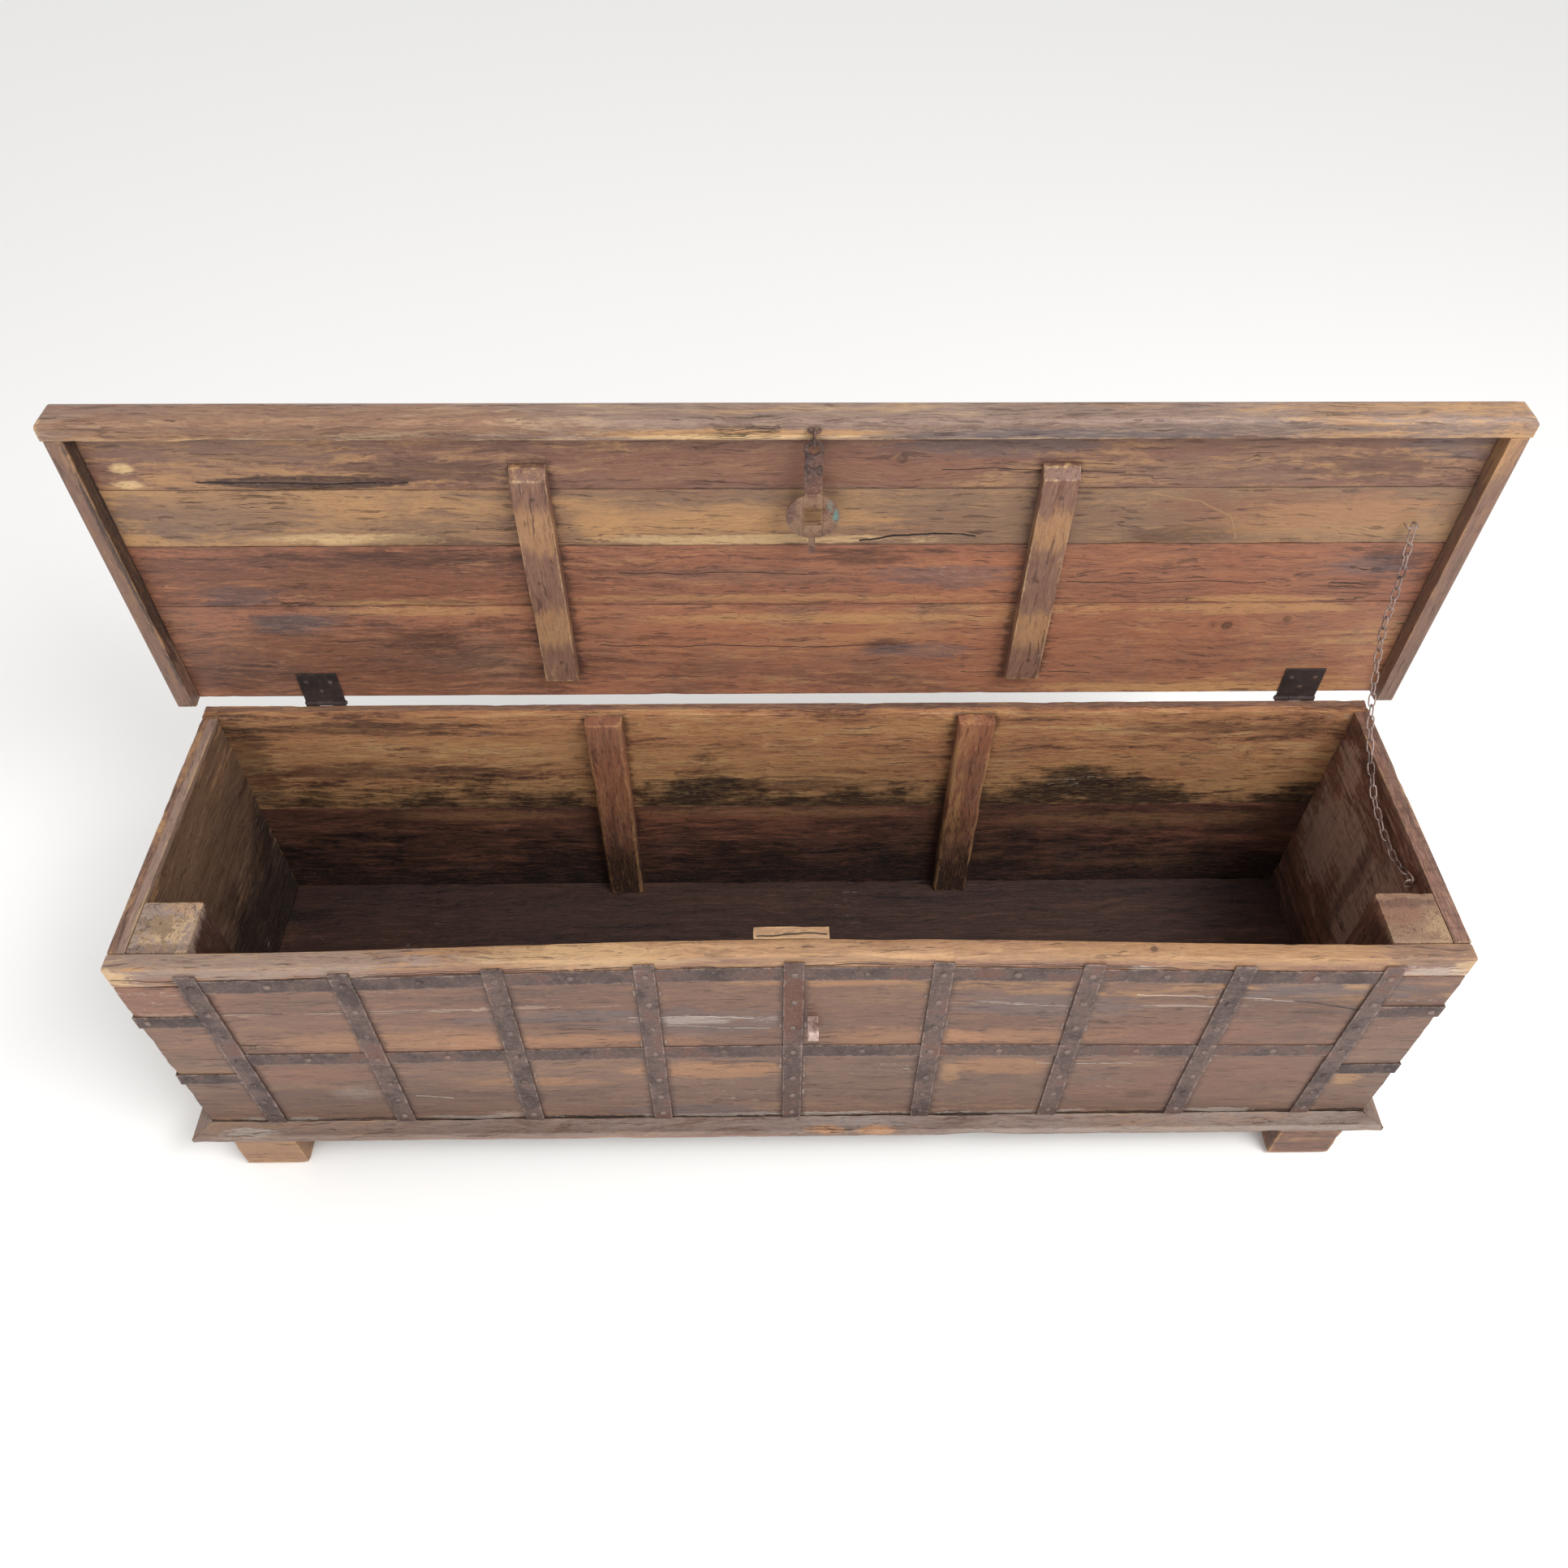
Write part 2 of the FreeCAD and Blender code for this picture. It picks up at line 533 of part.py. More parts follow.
def corner_straps():
    t, h = CORNER_STRAP_THICKNESS, CORNER_STRAP_HEIGHT / 2
    start = OUTER_STRAP_X + STRAP_WIDTH / 2
    straps = []
    for sign in (-1, 1):
        for drop in CORNER_STRAP_DROPS.values():
            z = RIM_Z - drop - h
            outer = HALF_LENGTH + t
            plan = [(start, FRONT_Y), (start, FRONT_Y - t), (outer, FRONT_Y - t),
                    (outer, FRONT_Y + CORNER_STRAP_RETURN),
                    (HALF_LENGTH, FRONT_Y + CORNER_STRAP_RETURN), (HALF_LENGTH, FRONT_Y)]
            straps.append(extrude([V(sign * x, y, z) for x, y in plan],
                                  V(0, 0, CORNER_STRAP_HEIGHT)))
    return {"corner_straps": group(straps)}


def end_straps():
    half, t = STRAP_WIDTH / 2, END_STRAP_THICKNESS
    straps = []
    for sign in (-1, 1):
        x0, x1 = sorted((sign * HALF_LENGTH, sign * (HALF_LENGTH + t)))
        for place in END_STRAP_PLACES:
            y = FRONT_Y + place
            straps.append(box(x0, x1, y - half, y + half, MOULDING_TOP_Z, STRAP_TOP_Z))
    return {"end_wall_straps": group(straps)}


def rivet(foot, outward):
    """A hammered rivet head: a low faceted dome standing on a strap."""
    return tapered_prism(foot + outward * SEAT_GAP, outward, RIVET_BASE_RADIUS,
                         RIVET_CROWN_RADIUS, RIVET_HEIGHT - SEAT_GAP, RIVET_SIDES)


def rivets():
    heads = []
    strap_heights = [MOULDING_TOP_Z + RIVET_FIRST_RISE + RIVET_LOW_PITCH * k for k in range(3)]
    strap_heights += [MIDDLE_BAND_Z + RIVET_HIGH_PITCH * k for k in range(3)]
    strap_heights.append(UPPER_BAND_Z)
    for x in strap_centres():
        for z in strap_heights:
            out = front_normal(x, z)
            heads.append(rivet(V(x, front_y(x, z), z) + out * STRAP_THICKNESS, out))
    for left in strap_centres()[:-1]:
        for z in (MIDDLE_BAND_Z, UPPER_BAND_Z):
            x = left + STRAP_PITCH / 2
            out = front_normal(x, z)
            heads.append(rivet(V(x, front_y(x, z), z) + out * BAND_THICKNESS, out))
    for sign in (-1, 1):
        side = V(sign, 0, 0)
        for drop in CORNER_STRAP_DROPS.values():
            z = RIM_Z - drop
            inset = STRAP_WIDTH / 2
            heads.append(rivet(V(sign * (HALF_LENGTH - inset), FRONT_Y - CORNER_STRAP_THICKNESS, z),
                               V(0, -1, 0)))
            heads.append(rivet(V(sign * (HALF_LENGTH + CORNER_STRAP_THICKNESS),
                                 FRONT_Y + CORNER_STRAP_RETURN - inset, z), side))
        for place in END_STRAP_PLACES:
            for z in strap_heights[::2]:
                heads.append(rivet(V(sign * (HALF_LENGTH + END_STRAP_THICKNESS),
                                     FRONT_Y + place, z), side))
    return {"strap_rivets": group(heads)}


# ================================================================ lid
def lid_outline(z0, z1):
    """Plan of the whole lid with its rounded outer corners, as a prism."""
    front = HINGE_Y - LID_DEPTH
    prism = box(-LID_HALF, LID_HALF, front, HINGE_Y, z0, z1)
    corners = edges_where(prism, lambda p: p.y < front + 0.1)
    upright = [e for e in corners if abs(e.Vertexes[0].Z - e.Vertexes[1].Z) > 1]
    return prism.makeFillet(LID_CORNER_ROUND, upright)


def rail_section(u_outer, u_inner, place):
    """Rail section: outer edges rounded over, place(u, z) puts a point of it in space."""
    sign = 1 if u_outer > u_inner else -1
    r = LID_EDGE_ROUND
    bend = r * (1 - math.sqrt(0.5))
    low, high, out = LID_RAIL_LOW_Z, LID_TOP_Z, u_outer
    near = u_outer - sign * r
    edges = [
        Part.makeLine(place(u_inner, low), place(near, low)),
        Part.Arc(place(near, low), place(out - sign * bend, low + bend),
                 place(out, low + r)).toShape(),
        Part.makeLine(place(out, low + r), place(out, high - r)),
        Part.Arc(place(out, high - r), place(out - sign * bend, high - bend),
                 place(near, high)).toShape(),
        Part.makeLine(place(near, high), place(u_inner, high)),
        Part.makeLine(place(u_inner, high), place(u_inner, low)),
    ]
    return Part.Face(Part.Wire(edges))


def lid_rails():
    front = HINGE_Y - LID_DEPTH
    inner = front + LID_RAIL_THICKNESS
    outline = lid_outline(LID_RAIL_LOW_Z, LID_TOP_Z)
    bar = rail_section(front, inner, lambda y, z: V(-LID_HALF, y, z)).extrude(V(LID_LENGTH, 0, 0))
    parts = {"lid_front_rail": opened(bar.common(outline))}
    for side, sign in (("left", -1), ("right", 1)):
        rear = HINGE_Y - LID_SIDE_REAR_GAP
        bar = rail_section(sign * LID_HALF, sign * LID_INNER_HALF,
                           lambda x, z: V(x, inner, z)).extrude(V(0, rear - inner, 0))
        x0, x1 = sorted((sign * LID_INNER_HALF, sign * LID_HALF))
        profile = box(x0, x1, inner, rear, LID_RAIL_LOW_Z, LID_TOP_Z)
        heel = edges_where(profile, lambda p: p.y > rear - 0.1 and p.z < LID_RAIL_LOW_Z + 0.1)
        parts["lid_side_rail_" + side] = opened(
            bar.common(profile.makeFillet(LID_CORNER_ROUND, heel)))
    return parts


def lid_boards():
    edges_from_axis = (LID_REAR_GAP,) + LID_SEAMS + (LID_DEPTH - LID_RAIL_THICKNESS,)
    screws = screw_holes([lid_screw_place(side, k) for side in HINGE_CENTRES for k in range(3)],
                         V(0, 0, 1))
    parts = {}
    for k in range(len(edges_from_axis) - 1):
        y0, y1 = HINGE_Y - edges_from_axis[k + 1], HINGE_Y - edges_from_axis[k]
        board = box(-LID_INNER_HALF, LID_INNER_HALF, y0, y1, LID_UNDER_Z, LID_TOP_Z)
        if k == 0:
            board = board.cut(screws)
        parts["lid_board_%d" % (k + 1)] = opened(board)
    return parts


def lid_cleats():
    """Battens across the lid's boards, with sloped ends."""
    parts = {}
    for side, centre in LID_CLEAT_CENTRES.items():
        rim_y = max(front_y(centre + s * LID_CLEAT_WIDTH / 2, RIM_Z) for s in (-1, 1))
        y0 = rim_y + FRONT_THICKNESS + LID_CLEAT_FRONT_CLEARANCE
        y1 = HINGE_Y - LID_CLEAT_REAR
        low, c, rear = LID_UNDER_Z - LID_CLEAT_THICKNESS, LID_CLEAT_CHAMFER, LID_CLEAT_REAR_CHAMFER
        x0 = centre - LID_CLEAT_WIDTH / 2
        profile = [V(x0, y0, LID_UNDER_Z), V(x0, y0, low + c), V(x0, y0 + c, low),
                   V(x0, y1 - rear, low), V(x0, y1, low + rear), V(x0, y1, LID_UNDER_Z)]
        parts["lid_cleat_" + side] = opened(extrude(profile, V(LID_CLEAT_WIDTH, 0, 0)))
    return parts


# ================================================================ hinges
def knuckle_spans(centre, own):
    """X spans of the knuckles; own is 0 for the case leaf's knuckles and 1 for the lid leaf's."""
    width = HINGE_WIDTH / HINGE_KNUCKLES
    start = centre - HINGE_WIDTH / 2
    return [(start + k * width + KNUCKLE_GAP / 2, start + (k + 1) * width - KNUCKLE_GAP / 2)
            for k in range(HINGE_KNUCKLES) if k % 2 == own]


def hinge_leaf(plate, centre, own, holes):
    """A leaf: a plate relieved round the other leaf's knuckles, with its own knuckles added."""
    reach = KNUCKLE_RADIUS + KNUCKLE_GAP
    relief = [cylinder_x(x0 - KNUCKLE_GAP, x1 + KNUCKLE_GAP, HINGE_Y, HINGE_Z, reach)
              for x0, x1 in knuckle_spans(centre, 1 - own)]
    knuckles = [cylinder_x(x0, x1, HINGE_Y, HINGE_Z, KNUCKLE_RADIUS)
                for x0, x1 in knuckle_spans(centre, own)]
    bore = cylinder_x(centre - HINGE_WIDTH, centre + HINGE_WIDTH, HINGE_Y, HINGE_Z,
                      HINGE_PIN_RADIUS + HINGE_PIN_CLEARANCE)
    return fused([plate.cut(group(relief))] + knuckles).cut(bore).cut(holes)


def screw_offsets(k):
    """Place of screw k on a leaf: across the leaf, and down from the hinge axis."""
    return (k - 1) * HINGE_WIDTH * SCREW_SPREAD_SHARE, HINGE_LEAF_LENGTH * SCREW_DROP_SHARES[k]


def lid_screw_place(side, k):
    across, down = screw_offsets(k)
    return V(HINGE_CENTRES[side] + across, HINGE_Y - down, LID_UNDER_Z)


def case_screw_place(side, k):
    across, down = screw_offsets(k)
    return V(HINGE_CENTRES[side] + across, BACK_Y, HINGE_Z - down)


def screw_holes(places, inward):
    """Clearance holes for the shanks, from the leaf's outer face into the wood."""
    radius = SCREW_SHANK_RADIUS + SCREW_HOLE_CLEARANCE
    length = HINGE_LEAF_THICKNESS + SCREW_SHANK_LENGTH + SCREW_HOLE_DEPTH_SPARE
    return group([tapered_prism(p - inward * HINGE_LEAF_THICKNESS, inward, radius, radius,
                                length, SCREW_SIDES) for p in places])


def screw(place, inward):
    """Round-headed wood screw whose head sits on the leaf."""
    seat = place - inward * HINGE_LEAF_THICKNESS
    shank = tapered_prism(seat, inward, SCREW_SHANK_RADIUS, SCREW_SHANK_RADIUS,
                          SCREW_SHANK_LENGTH + HINGE_LEAF_THICKNESS, SCREW_SIDES)
    head = tapered_prism(seat, inward * -1, SCREW_HEAD_RADIUS, SCREW_CROWN_RADIUS,
                         SCREW_HEAD_PROUD, SCREW_SIDES)
    return fused([shank, head])


def hinges():
    parts, pins = {}, []
    half = HINGE_WIDTH / 2
    lid_screws, case_screws = [], []
    for side, centre in HINGE_CENTRES.items():
        lid_places = [lid_screw_place(side, k) for k in range(3)]
        case_places = [case_screw_place(side, k) for k in range(3)]
        lid_plate = box(centre - half, centre + half, HINGE_Y - HINGE_LEAF_LENGTH, HINGE_Y,
                        HINGE_Z - HINGE_LEAF_THICKNESS / 2, LID_UNDER_Z)
        case_plate = box(centre - half, centre + half, BACK_Y, BACK_Y + HINGE_LEAF_THICKNESS,
                         HINGE_Z - HINGE_LEAF_LENGTH, HINGE_Z)
        parts["lid_hinge_leaf_" + side] = opened(
            hinge_leaf(lid_plate, centre, 1, screw_holes(lid_places, V(0, 0, 1))))
        parts["case_hinge_leaf_" + side] = hinge_leaf(
            case_plate, centre, 0, screw_holes(case_places, V(0, -1, 0)))
        lid_screws += [opened(screw(p, V(0, 0, 1))) for p in lid_places]
        case_screws += [screw(p, V(0, -1, 0)) for p in case_places]
        shaft = cylinder_x(centre - half, centre + half, HINGE_Y, HINGE_Z, HINGE_PIN_RADIUS)
        heads = [tapered_prism(V(centre + end * half, HINGE_Y, HINGE_Z), V(end, 0, 0),
                               HINGE_PIN_HEAD_RADIUS, HINGE_PIN_CROWN_RADIUS,
                               HINGE_PIN_HEAD_LENGTH, SCREW_SIDES) for end in (-1, 1)]
        pins.append(fused([shaft] + heads))
    parts["hinge_pins"] = group(pins)
    parts["lid_hinge_screws"] = group(lid_screws)
    parts["case_hinge_screws"] = group(case_screws)
    return parts


# ================================================================ hasp and catch
def hasp_staple_point():
    """Middle of the hasp staple's cross wire, lid open."""
    y, z = opened_point(HINGE_Y - HASP_STAPLE_FROM_AXIS, LID_RAIL_LOW_Z - HASP_STAPLE_REACH)
    return V(HASP_X, y, z)


def hasp_link_low():
    """Inner bottom of the hasp link as it hangs from the staple."""
    top = hasp_staple_point() + V(0, 0, HASP_WIRE_RADIUS + HASP_PLAY)
    return top - V(0, 0, HASP_LINK_INNER_LENGTH)


def hasp_rim_point():
    """Middle of the eye's upper rim, which is what hangs in the link and turns there."""
    rim = HASP_EYE_RADIUS - HASP_EYE_HOLE_RADIUS
    half_diagonal = math.hypot(rim, HASP_PLATE_THICKNESS) / 2
    return hasp_link_low() + V(0, 0, half_diagonal + HASP_PLAY)


def hasp():
    root_y, root_z = opened_point(HINGE_Y - HASP_STAPLE_FROM_AXIS, LID_RAIL_LOW_Z)
    loop = staple(V(HASP_X, root_y, root_z), V(0, -1, 0), V(1, 0, 0), HASP_STAPLE_REACH,
                  HASP_STAPLE_SPREAD, HASP_WIRE_RADIUS)
    middle = hasp_link_low() + V(0, 0, HASP_LINK_INNER_LENGTH / 2)
    link = oval_link(middle, V(0, 0, 1), V(0, 1, 0), HASP_LINK_INNER_LENGTH,
                     HASP_LINK_INNER_WIDTH, HASP_LINK_WIRE_RADIUS, RING_BEND_CHORDS)
    return {"hasp_staple": loop, "hasp_link": link, "hasp_plate": hasp_plate()}


def hasp_plate():
    """Flat forged hasp: eye, shank, disc with a square slot, and a short tongue."""
    t = HASP_PLATE_THICKNESS
    rim = hasp_rim_point()
    eye = rim - V(0, 0, (HASP_EYE_RADIUS + HASP_EYE_HOLE_RADIUS) / 2)
    disc = eye - V(0, 0, HASP_EYE_TO_DISC)
    y0 = eye.y - t / 2
    back = V(0, 1, 0)

    def bar(width, z0, z1):
        return box(HASP_X - width / 2, HASP_X + width / 2, y0, y0 + t, z0, z1)

    outline = fused([
        Part.makeCylinder(HASP_EYE_RADIUS, t, V(eye.x, y0, eye.z), back),
        bar(HASP_SHANK_WIDTH, disc.z, eye.z),
        Part.makeCylinder(HASP_DISC_RADIUS, t, V(disc.x, y0, disc.z), back),
        bar(HASP_TONGUE_WIDTH, disc.z - HASP_DISC_RADIUS - HASP_TONGUE_LENGTH, disc.z),
    ])
    slot = box(HASP_X - HASP_SLOT_WIDTH / 2, HASP_X + HASP_SLOT_WIDTH / 2,
               y0 - CUT_SPARE, y0 + t + CUT_SPARE,
               disc.z - HASP_SLOT_HEIGHT / 2, disc.z + HASP_SLOT_HEIGHT / 2)
    hole = Part.makeCylinder(HASP_EYE_HOLE_RADIUS, t + 2 * CUT_SPARE,
                             V(eye.x, y0 - CUT_SPARE, eye.z), back)
    return outline.cut(slot).cut(hole)


def hasp_catch(front_board):
    """Flat-band staple that the hasp's slot drops over, level with the slot when the lid is shut."""
    staple_open = hasp_staple_point()
    slot_drop = staple_open.z - (hasp_rim_point().z - (HASP_EYE_RADIUS + HASP_EYE_HOLE_RADIUS) / 2
                                 - HASP_EYE_TO_DISC)
    z = LID_RAIL_LOW_Z - HASP_STAPLE_REACH - slot_drop
    plate_back = HINGE_Y - HASP_STAPLE_FROM_AXIS + HASP_PLATE_THICKNESS / 2
    tip = plate_back + CATCH_TO_HASP_GAP
    root = FRONT_Y + FRONT_THICKNESS

    def tongue(height, end):
        """A bar along Y with a half-round outer end."""
        r = height / 2
        bar = box(HASP_X - CATCH_WIDTH / 2, HASP_X + CATCH_WIDTH / 2, end + r, root,
                  z - r, z + r)
        nose = cylinder_x(HASP_X - CATCH_WIDTH / 2, HASP_X + CATCH_WIDTH / 2, end + r, z, r)
        return fused([bar, nose])

    band = tongue(CATCH_HEIGHT, tip).cut(tongue(CATCH_HEIGHT - 2 * CATCH_BAND, tip + CATCH_BAND))
    return {"hasp_catch": group(band.cut(front_board).Solids)}


# ================================================================ chain stay
def chain_lengths():
    """The chain in rigid lengths, each listed by the distances of its links from its turning point.

    Links stand upright and lie flat by turns.  The chain turns in the end wires of its flat links, so
    lengths that start with an upright link alternate with lengths that start with a flat one.
    """
    lengths = []
    for k in range(len(CHAIN_SLOPES)):
        starts_upright = k % 2 == 0
        lead = CHAIN_PITCH - LINK_END if starts_upright else LINK_END
        count = CHAIN_LINKS_PER_LENGTH if k < len(CHAIN_SLOPES) - 1 else CHAIN_LINKS_PER_LENGTH - 1
        places = [lead + i * CHAIN_PITCH for i in range(count)]
        upright = [starts_upright == (i % 2 == 0) for i in range(count)]
        lengths.append({"places": places, "upright": upright,
                        "step": (CHAIN_LINKS_PER_LENGTH - 1) * CHAIN_PITCH + 2 * lead})
    return lengths


def ring_place():
    """Distance of the end ring's middle from the last turning point."""
    last_flat = chain_lengths()[-1]["places"][-1]
    wires_apart = 2 * LINK_END - CHAIN_PITCH
    return last_flat + LINK_END - wires_apart + CHAIN_RING_INNER_LENGTH / 2 + CHAIN_WIRE_RADIUS


def chain_start():
    return V(0, FRONT_Y + WALL_STAPLE_FROM_FRONT, RIM_Z - WALL_STAPLE_DROP)


def lid_staple_point():
    y, z = opened_point(HINGE_Y - LID_STAPLE_FROM_AXIS, LID_UNDER_Z - LID_STAPLE_REACH)
    return V(LID_STAPLE_X, y, z)


def chain_slopes():
    """Slope of each length at rest, in radians.

    The listed slopes are leaned and curled by two small even amounts, which bring the end ring onto
    the lid's staple wherever the two staples are.
    """
    steps = [length["step"] for length in chain_lengths()]
    steps[-1] = ring_place() + CHAIN_RING_INNER_LENGTH / 2 - CHAIN_STAPLE_WIRE_RADIUS \
        - CHAIN_RING_SLACK
    reach = lid_staple_point() - chain_start()
    along = [k / (len(steps) - 1) for k in range(len(steps))]
    lean, curl = 0.0, 0.0
    for _ in range(20):
        slopes = [math.radians(s) + lean + curl * t for s, t in zip(CHAIN_SLOPES, along)]
        ys = [d * math.cos(a) for d, a in zip(steps, slopes)]
        zs = [d * math.sin(a) for d, a in zip(steps, slopes)]
        miss_y, miss_z = reach.y - sum(ys), reach.z - sum(zs)
        y_lean, z_lean = -sum(zs), sum(ys)
        y_curl = -sum(z * t for z, t in zip(zs, along))
        z_curl = sum(y * t for y, t in zip(ys, along))
        scale = y_lean * z_curl - y_curl * z_lean
        lean += (miss_y * z_curl - y_curl * miss_z) / scale
        curl += (y_lean * miss_z - miss_y * z_lean) / scale
    return slopes


def chain_turning_points():
    """Where each length turns, wall end first; the last entry is the end ring's length."""
    points = [chain_start()]
    for length, slope in zip(chain_lengths()[:-1], chain_slopes()):
        points.append(points[-1] + V(0, math.cos(slope), math.sin(slope)) * length["step"])
    return points


def chain():
    origin, along, up, side = V(0, 0, 0), V(0, 1, 0), V(0, 0, 1), V(1, 0, 0)
    size = (CHAIN_LINK_INNER_LENGTH, CHAIN_LINK_INNER_WIDTH, CHAIN_WIRE_RADIUS, LINK_BEND_CHORDS)
    links = {True: oval_link(origin, along, up, *size), False: oval_link(origin, along, side, *size)}
    ring = oval_link(origin, along, up, CHAIN_RING_INNER_LENGTH, CHAIN_RING_INNER_WIDTH,
                     CHAIN_WIRE_RADIUS, RING_BEND_CHORDS)
    lengths, slopes, turns = chain_lengths(), chain_slopes(), chain_turning_points()
    total = sum(len(length["places"]) for length in lengths)
    start_x = INNER_HALF_LENGTH - WALL_CHAIN_OFFSET
    parts, done = {}, 0
    for k, (length, slope, turn) in enumerate(zip(lengths, slopes, turns)):
        heading = V(0, math.cos(slope), math.sin(slope))
        tilt = FreeCAD.Rotation(side, math.degrees(slope))
        solids = []
        for place, upright in zip(length["places"], length["upright"]):
            x = start_x + (LID_STAPLE_X - start_x) * done / total
            link = links[upright].copy()
            link.Placement = FreeCAD.Placement(turn + heading * place + side * x, tilt)
            solids.append(link)
            done += 1
        if k == len(lengths) - 1:
            ring.Placement = FreeCAD.Placement(
                turn + heading * ring_place() + side * LID_STAPLE_X, tilt)
            solids.append(ring)
        parts["chain_length_%02d" % (k + 1)] = group(solids)
    return parts


def chain_staples():
    """Wire staples that carry the chain: one in the right end wall, one in the lid."""
    low = chain_start() - V(0, 0, CHAIN_STAPLE_SPREAD / 2)
    root_y, root_z = opened_point(HINGE_Y - LID_STAPLE_FROM_AXIS, LID_UNDER_Z)
    return {
        "chain_wall_staple": staple(low + V(INNER_HALF_LENGTH, 0, 0), V(-1, 0, 0), V(0, 0, 1),
                                    WALL_STAPLE_REACH, CHAIN_STAPLE_SPREAD,
                                    CHAIN_STAPLE_WIRE_RADIUS),
        "chain_lid_staple": staple(V(LID_STAPLE_X, root_y, root_z), V(0, -1, 0), V(1, 0, 0),
                                   LID_STAPLE_REACH, CHAIN_STAPLE_SPREAD,
                                   CHAIN_STAPLE_WIRE_RADIUS),
    }


def build_all():
    parts = {}
    parts.update(front_boards())
    parts.update(back_and_end_boards())
    parts.update(floor_boards())
    parts.update(posts_and_cleats())
    parts.update(base_mouldings())
    parts.update(feet())
    parts.update(upright_straps())
    parts.update(front_bands())
    parts.update(corner_straps())
    parts.update(end_straps())
    parts.update(rivets())
    parts.update(lid_rails())
    parts.update(lid_boards())
    parts.update(lid_cleats())
    parts.update(hinges())
    parts.update(hasp())
    parts.update(hasp_catch(parts["front_board_upper"]))
    parts.update(chain_staples())
    parts.update(chain())
    return parts


if __name__ == "__main__":
    os.makedirs("parts", exist_ok=True)
    for name, shape in build_all().items():
        shape.exportStep("parts/%s.step" % name)
        print(name, len(shape.Solids), round(shape.Volume / 1000.0, 1), shape.isValid())
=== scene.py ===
"""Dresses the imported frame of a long, iron-strapped hardwood storage chest with its lid open.

Sizes are in metres, in the frame's own axes: X along the chest, Y from front to back, Z up.
Every board, strap, link and rivet is cut from its frame node and then worn by hand and age.
"""
import math
from dataclasses import dataclass
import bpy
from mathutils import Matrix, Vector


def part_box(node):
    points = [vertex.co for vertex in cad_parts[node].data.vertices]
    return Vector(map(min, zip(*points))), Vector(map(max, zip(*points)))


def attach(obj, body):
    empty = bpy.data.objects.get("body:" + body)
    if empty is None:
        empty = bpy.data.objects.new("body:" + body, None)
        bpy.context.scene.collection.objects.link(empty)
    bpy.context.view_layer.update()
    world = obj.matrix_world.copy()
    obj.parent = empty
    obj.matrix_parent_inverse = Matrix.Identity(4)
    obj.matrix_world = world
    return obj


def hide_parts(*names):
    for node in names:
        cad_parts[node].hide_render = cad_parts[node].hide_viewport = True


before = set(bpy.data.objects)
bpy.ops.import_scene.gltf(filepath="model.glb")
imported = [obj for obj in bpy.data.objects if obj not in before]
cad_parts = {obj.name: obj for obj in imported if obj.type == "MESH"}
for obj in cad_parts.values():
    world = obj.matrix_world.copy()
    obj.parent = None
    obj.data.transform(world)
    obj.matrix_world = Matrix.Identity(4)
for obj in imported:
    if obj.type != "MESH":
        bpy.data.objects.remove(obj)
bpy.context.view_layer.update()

from types import SimpleNamespace

import bmesh
import bpy
from bpy.props import FloatProperty, FloatVectorProperty, PointerProperty
from mathutils import Matrix, Vector, kdtree, noise

bl_info = {
    "name": "Strapped Storage Chest",
    "version": (1, 0, 0),
    "blender": (4, 5, 0),
    "location": "View3D > Sidebar > Chest",
    "description": "Worn boards, forged straps, hasp and chain of a long storage chest",
    "category": "Object",
}

WEAR = "wear"               # the mesh attribute that tells how near to an arris a point lies
FRAME_PIXELS = 1932
SENSOR_WIDTH = 0.036

CASE_LOW, CASE_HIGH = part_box("front_board_upper")
FRONT_Y = CASE_LOW.y
BACK_FACE_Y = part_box("back_board_upper")[0].y
LID_FACE_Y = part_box("lid_board_1")[0].y
RAIL_FACE_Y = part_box("lid_front_rail")[0].y
RIM_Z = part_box("front_top_rail")[1].z
MOULDING_TOP_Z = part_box("base_moulding_front")[1].z


# ------------------------------------------------------------------ settings a user would change
def paint(red, green, blue):
    """A colour named by its 0 to 255 values, as the linear colour that shaders use."""
    def linear(value):
        share = value / 255
        return share / 12.92 if share <= 0.04045 else ((share + 0.055) / 1.055) ** 2.4
    return linear(red), linear(green), linear(blue)


def colour_setting(name, text, red, green, blue):
    return FloatVectorProperty(name=name, description=text, subtype="COLOR", size=3,
                               min=0.0, max=1.0, default=paint(red, green, blue))


def length_setting(name, text, metres):
    return FloatProperty(name=name, description=text, default=metres, min=0.0,
                         subtype="DISTANCE", unit="LENGTH")


class BoardSettings(bpy.types.PropertyGroup):
    """How worn the boards are, and the colours of their wood."""

    arris: length_setting("Arris", "How far board edges are rounded over", 0.0018)
    seam_arris: length_setting("Seam arris", "Edge rounding of boards that meet at a seam", 0.0009)
    chips: length_setting("Chips", "Depth of the chips along board edges", 0.0026)
    waver: length_setting("Waver", "How far board faces are planed out of true", 0.0006)
    heart: colour_setting("Heartwood", "Red-brown heartwood", 126, 82, 64)
    russet: colour_setting("Russet", "Bright orange-brown streaks", 156, 98, 70)
    gold: colour_setting("Sapwood", "Golden sapwood", 180, 136, 90)
    straw: colour_setting("Bare wood", "Pale straw of fresh chips and bare wood", 210, 176, 128)
    olive: colour_setting("Olive", "Greenish brown of varnished sapwood", 126, 99, 74)
    mauve: colour_setting("Aged film", "Greyish mauve film of handled faces", 114, 88, 75)
    # Also the colour of the painted shade beside the cleats and the upright straps.
    shade: colour_setting("Dark grain", "Dark bands of the grain", 66, 42, 34)
    # Soot in cracks and joints, and also the painted shade of the dark inside of the case.
    soot_and_shade: colour_setting("Soot", "Blackened wood deep inside the chest", 24, 17, 15)
    stain: colour_setting("Blue stain", "Blue-grey stains", 88, 82, 86)
    ash: colour_setting("Crust", "Pale dust and paint crust in joints", 196, 184, 172)


